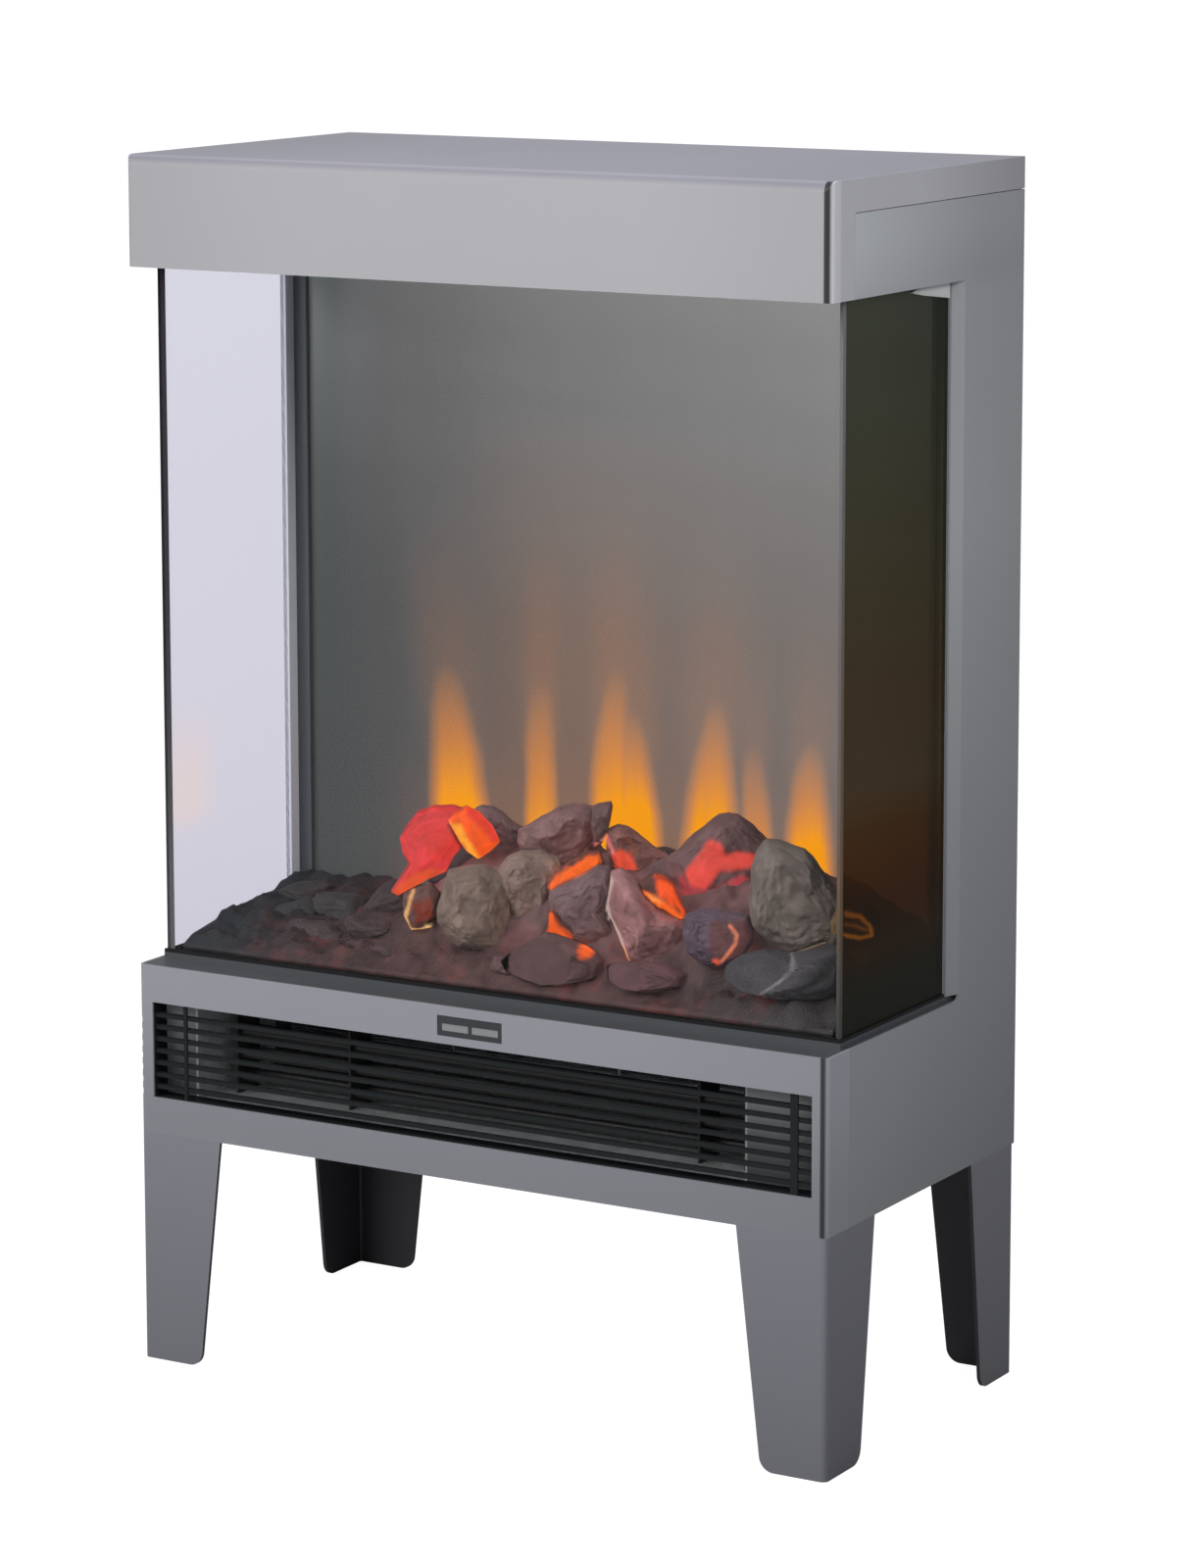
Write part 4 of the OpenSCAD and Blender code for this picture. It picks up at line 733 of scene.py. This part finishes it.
     [(-9.6, 7.4), (-4.4, 10.2), (5.2, 13.4), (9.7, 8.2), (9, -1.7), (5.9, -10.2), (-5.4, -11.1), (-9.3, -3.3)],
     [
      ("line", (225, 170, 110), 0.8, [(-4.1, 9.5), (-6.1, 4.1), (-8, -3.3), (-6.5, -9.8), (-1.4, -10.2), (5.1, -9.5)]),
      ("fill", (235, 190, 130), 0, [(1.1, -6.6), (5.1, -6.9), (4.7, -10.2), (1.1, -10.2)]),
      ("fill", (120, 55, 40), 0, [(-5.3, 4.9), (5.2, 6.5), (5.9, -3.3), (-2.9, -6.6)]),
     ]),
    ("low_left", (28, -73, 229),
     [(-27.5, 1.6), (-23.5, 5.2), (-17.1, 9.6), (-9.3, 14.4), (0.1, 19.2), (9.4, 16), (20.3, 11.2), (28.1, 4.7), (26.6, -3.2), (12.5, -7.2), (-3.2, -8), (-17.2, -4.8), (-24.5, -2.4)],
     [
      ("fill", (252, 104, 52), 0, [(14.9, 11.5), (20.3, 13.1), (24.7, 12.3), (24.2, 9.2), (20.3, 6.7), (16, 7.2)]),
     ]),
    ("low_mid", (80, -73, 231),
     [(-17, 4.8), (-7.7, 7.9), (3.1, 7.9), (15.5, 6.3), (24.7, 1.5), (23.2, -4.8), (7.7, -7.9), (-7.7, -6.3), (-16.2, -2.3)],
     [
     ]),
    ("low_right", (155, -69, 243),
     [(-25.9, 0), (-16.8, 6.3), (-4.6, 9.4), (7.6, 7), (19.8, 9.3), (31.9, 11.6), (38.1, 3), (35.1, -9.4), (22.9, -15.7), (1.6, -15.6), (-16.7, -10.9), (-27.4, -6.2)],
     [
      ("line", (125, 118, 122), 1.3, [(8.4, 6.2), (5.3, 1.9), (-0.7, -4.4), (-7.6, -10.9)]),
     ]),
]

TINTS = {
    "gold_edge": (0.20, 0.12, 0.05),
    "crimson": (0.1, 0.03, 0.03),
    "orange_facet": (0.12, 0.04, 0.03),
    "behind_left": (0.179, 0.117, 0.122),
    "hump": (0.250, 0.141, 0.139),
    "peak": (0.179, 0.103, 0.103),
    "dome": (0.290, 0.129, 0.114),
    "right_hump": (0.190, 0.102, 0.104),
    "big_grey": (0.200, 0.162, 0.142),
    "left_grey": (0.239, 0.173, 0.138),
    "mid_grey": (0.289, 0.203, 0.169),
    "centre": (0.201, 0.122, 0.127),
    "centre_right": (0.382, 0.184, 0.184),
    "two_lobes": (0.12, 0.045, 0.04),
    "right_low": (0.136, 0.091, 0.120),
    "small_left": (0.151, 0.079, 0.072),
    "low_left": (0.140, 0.074, 0.076),
    "low_mid": (0.148, 0.072, 0.078),
    "low_right": (0.075, 0.069, 0.076),
    "slab": (0.12, 0.05, 0.045),
    "fork": (0.12, 0.05, 0.045),
}

ROCKS = [
    # plain lumps that fill in round the others: x, y, z, half sizes, turn about Y, seed, tint
    (-134, -9, 230, 19, 16, 9, 6, 27, (0.052, 0.046, 0.048)),
    (-159, -20, 226, 15, 15, 8, -4, 28, (0.042, 0.042, 0.046)),
    (-97, -36, 229, 17, 14, 10, 0, 29, (0.074, 0.048, 0.050)),
    (-126, -46, 223, 18, 14, 7, 8, 44, (0.062, 0.044, 0.047)),
    (-108, -6, 236, 15, 15, 11, -10, 35, (0.070, 0.050, 0.052)),
    (-83, -58, 221, 17, 11, 8, 0, 36, (0.090, 0.054, 0.057)),
    (-172, 10, 232, 14, 13, 6, 0, 37, (0.055, 0.047, 0.047)),
    (-1, -69, 226.5, 8, 7, 5, 4, 45, (0.140, 0.080, 0.080)),
    (176, -30, 252, 13, 15, 17, 20, 34, (0.083, 0.072, 0.063)),
    (158, 2, 252, 20, 16, 20, 26, 39, (0.077, 0.055, 0.061)),
    (128, 6, 266, 18, 14, 18, 16, 38, (0.083, 0.055, 0.061)),
    (50, 14, 258, 22, 13, 18, 0, 40, (0.083, 0.055, 0.061)),
    (-12, 14, 258, 24, 13, 18, 0, 41, (0.083, 0.055, 0.061)),
    (-72, 12, 254, 22, 13, 18, 0, 42, (0.083, 0.055, 0.061)),
    (96, 14, 262, 22, 13, 20, 0, 43, (0.083, 0.055, 0.061)),
]

YAW = math.radians(30.5)
ACROSS = np.array((math.cos(YAW), math.sin(YAW), 0))
AWAY = np.array((-math.sin(YAW), math.cos(YAW), 0))
UP = np.array((0, 0, 1.0))

def smooth(a, b, v):
    t = np.clip((v - a) / (b - a), 0, 1)
    return t * t * (3 - 2 * t)

def field(pts, k, seed, octaves=3):
    off = Vector((seed * 7.3, seed * 3.1, seed * 5.7))
    return np.array([noise.fractal(Vector(p) * k + off, 0.7, 2.0, octaves) for p in pts])

def inside(q, poly):
    """Signed distance from points to a closed outline, positive inside."""
    a = np.array(poly, float)
    b = np.roll(a, -1, 0)
    d = np.full(len(q), 1e9)
    hit = np.zeros(len(q), bool)
    for (x0, y0), (x1, y1) in zip(a, b):
        e = np.array((x1 - x0, y1 - y0))
        w = q - (x0, y0)
        t = np.clip((w @ e) / (e @ e), 0, 1)
        d = np.minimum(d, np.hypot(*(w - t[:, None] * e).T))
        if y0 != y1:
            over = (y0 > q[:, 1]) != (y1 > q[:, 1])
            hit ^= over & (q[:, 0] < (x1 - x0) * (q[:, 1] - y0) / (y1 - y0) + x0)
    return np.where(hit, d, -d)

def along(q, line):
    d = np.full(len(q), 1e9)
    for a, b in zip(line[:-1], line[1:]):
        e = np.subtract(b, a).astype(float)
        w = q - a
        t = np.clip((w @ e) / (e @ e), 0, 1)
        d = np.minimum(d, np.hypot(*(w - t[:, None] * e).T))
    return d

def rim_radius(theta, poly):
    """How far out the outline is in each direction."""
    dx, dz = np.cos(theta), np.sin(theta)
    a = np.array(poly, float)
    b = np.roll(a, -1, 0)
    out = np.zeros(len(theta))
    for (x0, y0), (x1, y1) in zip(a, b):
        ex, ey = x1 - x0, y1 - y0
        den = dx * ey - dz * ex
        den = np.where(np.abs(den) < 1e-9, 1e-9, den)
        t = (x0 * ey - y0 * ex) / den
        k = (x0 * dz - y0 * dx) / den
        good = (t > 0) & (k >= -1e-6) & (k <= 1 + 1e-6)
        out = np.where(good, np.maximum(out, t), out)
    return out

def sphere(sub):
    bm = bmesh.new()
    bmesh.ops.create_icosphere(bm, subdivisions=sub, radius=1.0)
    pts = np.array([v.co[:] for v in bm.verts])
    faces = [[v.index for v in f.verts] for f in bm.faces]
    bm.free()
    return pts / np.linalg.norm(pts, axis=1)[:, None], faces

def lump(index, at, rim, marks, tint):
    """A coal whose outline from the front corner is the given rim, chipped and pitted, with its marks of emitted light:
    glow through the resin and painted highlights.
    """
    area2 = abs(sum(a[0] * b[1] - a[1] * b[0] for a, b in zip(rim, rim[1:] + rim[:1]))) / 2
    size = math.sqrt(area2 / math.pi)
    deep = min(max(0.72 * size, 7), 17)
    n, faces = sphere(6 if size > 12 else 5)
    s = np.hypot(n[:, 0], n[:, 2])
    theta = np.arctan2(n[:, 2], n[:, 0])
    big = rim_radius(theta, rim)
    rng = np.random.RandomState(100 + index)
    m = rng.normal(size=(14, 3))
    m /= np.linalg.norm(m, axis=1)[:, None]
    q = np.maximum(n @ m.T, 0) / rng.uniform(0.62, 1.0, 14)
    chip = np.minimum(np.maximum((q ** 12).sum(1), 1e-9) ** (-1 / 12), 1.15)
    off = Vector(rng.uniform(-50, 50, 3))
    rough = np.array([noise.fractal(Vector(p) * 2.4 + off, 0.75, 2.1, 5) for p in n])
    fine = np.array([noise.fractal(Vector(p) * 10.0 + off, 0.8, 2.0, 3) for p in n])
    inner = (1 - s ** 4)
    grow = s ** 0.8 * (1 + 0.020 * rough)
    a, b = big * grow * np.cos(theta), big * grow * np.sin(theta)
    c = deep * np.sign(n[:, 1]) * np.abs(n[:, 1]) ** 0.9 * chip * (1 + 0.16 * rough)
    c = c + inner * fine * 0.55
    pts = np.array(at, float) + a[:, None] * ACROSS + b[:, None] * UP + c[:, None] * AWAY
    ab = np.stack([a, b], 1) + 0.5 * np.stack([rough, fine], 1)
    light = np.zeros((len(n), 3))
    cover = np.zeros(len(n))
    for kind, col, width, points in marks:
        if kind == "fill":
            k = smooth(-1.3, 1.7, inside(ab, points) + 0.9 * rough)
        else:
            w = max(width, 1.5) / 2
            k = smooth(w + 0.9, w - 0.5, along(ab, np.array(points)))
        rgb = np.maximum(np.array(s2l(*col)) * 0.92 - (0.02, 0.022, 0.022), 0.002)
        light = light * (1 - k[:, None]) + k[:, None] * rgb
        cover = np.maximum(cover, k)
    light *= (1 + 0.22 * rough + 0.12 * fine)[:, None]
    base = np.array(tint) * (1 + 0.22 * rough + 0.15 * fine)[:, None] * (1 - 0.75 * cover)[:, None]
    return pts, faces, np.clip(light, 0, 4), np.clip(base, 0.01, 1)

def make_object(name, verts, faces, mat, smooth_shade=True):
    me = bpy.data.meshes.new(name)
    me.from_pydata([tuple(v) for v in verts], [], [list(map(int, f)) for f in faces])
    me.update()
    if smooth_shade:
        me.polygons.foreach_set("use_smooth", [True] * len(me.polygons))
    o = bpy.data.objects.new(name, me)
    scene.collection.objects.link(o)
    if mat is not None:
        me.materials.append(mat.mat)
    return o

def paint_attribute(o, name, rgb):
    a = o.data.color_attributes.new(name, "FLOAT_COLOR", "POINT")
    col = np.ones((len(rgb), 4), np.float32)
    col[:, :3] = rgb
    a.data.foreach_set("color", col.ravel())

def ember_material(name):
    """Moulded resin coal: a sooty, pitted skin, with emitted light from the glow attribute: the light of the lamps
    showing through thin places, and painted highlights on edges and cracks.
    """
    m = Mat(name)
    a = m.nt.nodes.new("ShaderNodeAttribute")
    a.attribute_name = "glow"
    t = m.nt.nodes.new("ShaderNodeAttribute")
    t.attribute_name = "tint"
    cloud = m.noise(75, 4, 0.6)
    grit = m.noise(560, 3, 0.6)
    k = m.math("MULTIPLY", m.remap(cloud, 0.30, 0.70, 0.84, 1.14), m.math("MULTIPLY_ADD", grit, 0.30, 0.85))
    base = m.mix(1.0, t.outputs["Color"], m.join(k, k, k), "MULTIPLY")
    flick = m.math("MULTIPLY_ADD", m.noise(190, 3, 0.6), 0.40, 0.80)
    emit = m.mix(1.0, a.outputs["Color"], m.join(flick, flick, flick), "MULTIPLY")
    relief = m.math("ADD", m.math("MULTIPLY", cloud, 0.8), m.math("MULTIPLY", grit, 0.25))
    m.set(Base_Color=base, Roughness=m.math("MULTIPLY_ADD", grit, 0.25, 0.50), Emission_Color=emit,
          Normal=m.bump(relief, 0.17, 0.0010))
    m.p.inputs["Emission Strength"].default_value = 1.0
    m.p.inputs["Specular IOR Level"].default_value = 0.25
    return m

coal_mat = ember_material("coal_resin")
bed_mat = ember_material("bed_resin")

def clamp_to_bed(pts):
    pts[:, 0] = np.clip(pts[:, 0], -BED_X, BED_X)
    pts[:, 1] = np.clip(pts[:, 1], BED_Y0 + 0.3, BED_Y1)
    pts[:, 2] = np.maximum(pts[:, 2], DECK + 0.2)
    return pts

def make_coals():
    parts = []
    for i, (name, at, rim, marks) in enumerate(LUMPS):
        parts.append(lump(i, at, rim, marks, TINTS[name]))
    for x, y, z, rx, ry, rz, turn, seed, tint in ROCKS:
        pts, faces = rock_mesh(5, seed, 13, 9, 0.09)
        pts = pts * (rx, ry, rz) @ np.array(Matrix.Rotation(math.radians(turn), 3, "Y")).T + (x, y, z)
        wob = field(pts, 0.09, seed)
        parts.append((pts, faces, np.zeros((len(pts), 3)), np.array(tint) * (1 + 0.3 * wob)[:, None]))
    v = clamp_to_bed(np.concatenate([p[0] for p in parts]))
    faces, n = [], 0
    for p in parts:
        faces += [[i + n for i in f] for f in p[1]]
        n += len(p[0])
    o = make_object("coal_lumps", v * MM, faces, coal_mat)
    paint_attribute(o, "glow", np.concatenate([p[2] for p in parts]))
    paint_attribute(o, "tint", np.concatenate([p[3] for p in parts]))
    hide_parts("coals")
    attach(o, "casing")
    return o

def bed_height(x, y):
    """The bed climbs to the back in steps, with the coals heaped on a mound in the middle."""
    base = np.interp(y, (-77.2, -69, -47, -42, -17, -10, 7, 14, 22, 33.4),
                     (217.6, 221.6, 225.2, 229.2, 228.6, 230.4, 230.6, 234.6, 235.2, 236.0))
    mound = np.interp(y, (-77.2, -72, -66, -60, -54, -46, -38, -28, -18, -6, 2, 10, 20, 33.4),
                      (0, 1, 4, 9, 15, 23, 30, 38, 44, 46, 44, 37, 24, 10))
    return base + mound * smooth(-108, -34, x) * (1 - 0.30 * smooth(150, 191, x))

def make_bed():
    nx, ny = 300, 90
    xs = np.linspace(-BED_X, BED_X, nx)
    ys = np.linspace(BED_Y0, BED_Y1, ny)
    X, Y = np.meshgrid(xs, ys, indexing="ij")
    Z = bed_height(X, Y)
    p = np.stack([X, Y, Z], -1).reshape(-1, 3)
    lumps = field(p * (1, 1, 0.3), 0.055, 5, 4) * 4.5
    ridge = 1 - np.abs(field(p * (1, 1, 0.3), 0.030, 9, 3)) * 2
    edge = (smooth(0, 8, p[:, 1] - BED_Y0) * smooth(0, 6, BED_X - np.abs(p[:, 0]))).ravel()
    p[:, 2] = np.maximum(p[:, 2] + (lumps + 1.6 * ridge) * edge, DECK + 1.0)
    idx = np.arange(nx * ny).reshape(nx, ny)
    faces = [(idx[i, j], idx[i + 1, j], idx[i + 1, j + 1], idx[i, j + 1]) for i in range(nx - 1) for j in range(ny - 1)]
    ring = list(idx[:, 0]) + list(idx[-1, 1:]) + list(idx[-2::-1, -1]) + list(idx[0, -2:0:-1])
    low = np.array([(p[i, 0], p[i, 1], DECK + 0.1) for i in ring])
    base = len(p)
    m = len(ring)
    faces += [(ring[k], base + k, base + (k + 1) % m, ring[(k + 1) % m])[::-1] for k in range(m)]
    v = np.concatenate([p, low, [[0, -20, DECK + 0.1]]])
    faces += [(base + (k + 1) % m, base + k, base + m) for k in range(m)]
    o = make_object("ember_bed", v * MM, faces, bed_mat)
    bm = bmesh.new()
    bm.from_mesh(o.data)
    bmesh.ops.recalc_face_normals(bm, faces=bm.faces)
    bm.to_mesh(o.data)
    bm.free()
    wob = field(v, 0.09, 2, 4)
    # the hot spots are the glow of the lamps under the bed; on the heap a faint red glow and, below, a lighter tint are
    # painted light, lifting the shade in the gaps between the coals
    hot = smooth(0.15, 0.55, field(v, 0.06, 21, 3)) * smooth(BED_X, 120, np.abs(v[:, 0]))
    heap = (smooth(-105, -55, v[:, 0]) * smooth(226, 250, v[:, 2]))[:, None]
    paint_attribute(o, "glow", hot[:, None] * np.array((0.045, 0.008, 0.008)) + heap * np.array((0.017, 0.008, 0.008)))
    grey = smooth(60, 170, v[:, 0])[:, None]
    left = smooth(-110, -175, v[:, 0])[:, None]
    mid = smooth(-95, -40, v[:, 0])[:, None]
    tint = np.array((0.055, 0.029, 0.030)) * (1 - mid) + np.array((0.087, 0.043, 0.042)) * mid
    tint = tint * (1 - grey) + np.array((0.042, 0.036, 0.038)) * grey
    tint = tint * (1 - left) + np.array((0.022, 0.0235, 0.028)) * left
    tint = tint * (1 - heap) + np.array((0.160, 0.093, 0.095)) * heap
    paint_attribute(o, "tint", tint * (1 + 0.35 * wob)[:, None])
    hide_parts("fuel_bed")
    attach(o, "casing")
    return o

coals = make_coals()
bed = make_bed()

def make_wedge():
    """A pale wedge between the hood and the head of the right-hand pane, where a bright patch shows."""
    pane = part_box("right_glass")
    x0, x1 = pane[1][0] + 0.0001, pane[1][0] + 0.0016
    top = 0.5728
    side = [(-0.0146, 0.5706), (0.0, 0.5682), (0.0262, 0.5650), (0.0262, top), (0.010, top), (-0.004, top)]
    n = len(side)
    bm = bmesh.new()
    a = [bm.verts.new((x0, y, z)) for y, z in side]
    b = [bm.verts.new((x1, y, z)) for y, z in side]
    bm.faces.new(a[::-1])
    bm.faces.new(b)
    for i in range(n):
        bm.faces.new((a[i], a[(i + 1) % n], b[(i + 1) % n], b[i]))
    bmesh.ops.recalc_face_normals(bm, faces=bm.faces)
    bmesh.ops.bevel(bm, geom=[e for e in bm.edges], offset=0.0002, segments=2, affect="EDGES")
    me = bpy.data.meshes.new("pane_wedge")
    bm.to_mesh(me)
    bm.free()
    o = bpy.data.objects.new("pane_wedge", me)
    scene.collection.objects.link(o)
    me.materials.append(plastic("pale_plastic", (0.80, 0.82, 0.81), 0.45).mat)
    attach(o, "casing")
    return o

make_wedge()

def flat_marks(name, shapes, y0, y1, mat, body, bevel=0.00003):
    """Thin printed marks facing the back: closed outlines in x and z, in metres."""
    bm = bmesh.new()
    for pts in shapes:
        a = [bm.verts.new((x, y0, z)) for x, z in pts]
        b = [bm.verts.new((x, y1, z)) for x, z in pts]
        bm.faces.new(a)
        bm.faces.new(b[::-1])
        for i in range(len(pts)):
            j = (i + 1) % len(pts)
            bm.faces.new((a[i], b[i], b[j], a[j]))
    bmesh.ops.recalc_face_normals(bm, faces=bm.faces)
    bmesh.ops.bevel(bm, geom=[e for e in bm.edges if abs(e.verts[0].co.y - y1) < 1e-7 and abs(e.verts[1].co.y - y1) < 1e-7],
                    offset=bevel, segments=1, affect="EDGES")
    me = bpy.data.meshes.new(name)
    bm.to_mesh(me)
    bm.free()
    o = bpy.data.objects.new(name, me)
    scene.collection.objects.link(o)
    me.materials.append(mat.mat)
    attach(o, body)
    return o

def make_marks():
    """Dial ticks round the knob, a pointer on its bar, and a plain sign over each rocker."""
    ink = plastic("white_print", (0.62, 0.63, 0.63), 0.5, 2500, 0.05, 0.3)
    knob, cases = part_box("thermostat_knob"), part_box("switch_housings")
    kx, kz = (knob[0][0] + knob[1][0]) / 2, (knob[0][2] + knob[1][2]) / 2
    face = cases[1][1] - 0.0022
    shapes = []
    for i in range(11):
        a = math.radians(-135 + 27 * i)
        u, w = Vector((-math.sin(a), math.cos(a))), Vector((math.cos(a), math.sin(a)))
        near = -math.sin(a) < -0.85
        r0, r1, h = 0.0168, 0.0181 if near else 0.0190, (0.30 + 0.045 * i) * MM
        shapes.append([tuple(Vector((kx, kz)) + u * r + w * s) for r, s in ((r0, -h), (r1, -h), (r1, h), (r0, h))])
    # a drop for the flames, one and two bars for the two heats
    top = cases[1][2] + 0.0042
    width = cases[1][0] - cases[0][0]
    xs = [cases[0][0] + 0.0077 + (width - 0.0154) * k / 2 for k in range(3)]
    drop = [(0, -2.4), (1.2, -2.0), (1.75, -0.9), (1.5, 0.4), (0.7, 1.5), (0.35, 2.8), (-0.25, 1.5), (-0.6, 0.7), (-1.1, 1.2), (-1.7, 0.1), (-1.75, -1.1), (-1.1, -2.1)]
    shapes.append([(xs[0] + x * MM, top + z * MM) for x, z in drop])
    for cx in (xs[1], xs[2] - 0.0011, xs[2] + 0.0011):
        shapes.append([(cx + x * MM, top + z * MM) for x, z in ((-0.4, -2.3), (0.4, -2.3), (0.4, 2.3), (-0.4, 2.3))])
    flat_marks("control_marks", shapes, face - 0.0001, face + 0.00012, ink, "casing")
    u, w = Vector((0.7071, -0.7071)), Vector((0.7071, 0.7071))
    bar = [tuple(Vector((kx, kz)) + u * (r * MM) + w * (s * MM)) for r, s in ((4.5, -0.55), (10.6, -0.55), (11.2, 0), (10.6, 0.55), (4.5, 0.55))]
    flat_marks("knob_pointer", [bar], knob[1][1] - 0.0001, knob[1][1] + 0.0001, ink, "knob")

make_marks()

# ------------------------------------------------------------------ floor

def make_floor():
    m = Mat("studio_floor")
    n = m.noise(3, 2)
    k = m.math("MULTIPLY_ADD", n, 0.01, 0.15)
    m.set(Base_Color=m.join(k, k, k), Roughness=0.8, Emission_Color=(1, 1, 1))
    m.p.inputs["Emission Strength"].default_value = 0.97
    m.p.inputs["Specular IOR Level"].default_value = 0.1
    # a matt grey floor for the light that bounces back up, so the feet aren't lit from below
    soft = m.nt.nodes.new("ShaderNodeBsdfDiffuse")
    soft.inputs["Color"].default_value = (0.30, 0.30, 0.31, 1)
    path = m.nt.nodes.new("ShaderNodeLightPath")
    seen = m.math("MAXIMUM", path.outputs["Is Camera Ray"], path.outputs["Is Transmission Ray"])
    mix = m.nt.nodes.new("ShaderNodeMixShader")
    m.nt.links.new(seen, mix.inputs["Fac"])
    m.nt.links.new(soft.outputs[0], mix.inputs[1])
    m.nt.links.new(m.p.outputs[0], mix.inputs[2])
    m.nt.links.new(mix.outputs[0], m.out.inputs["Surface"])
    s = 30
    o = make_object("studio_floor", [(-s, -s, 0), (s, -s, 0), (s, s, 0), (-s, s, 0)], [(0, 1, 2, 3)], m, False)

make_floor()
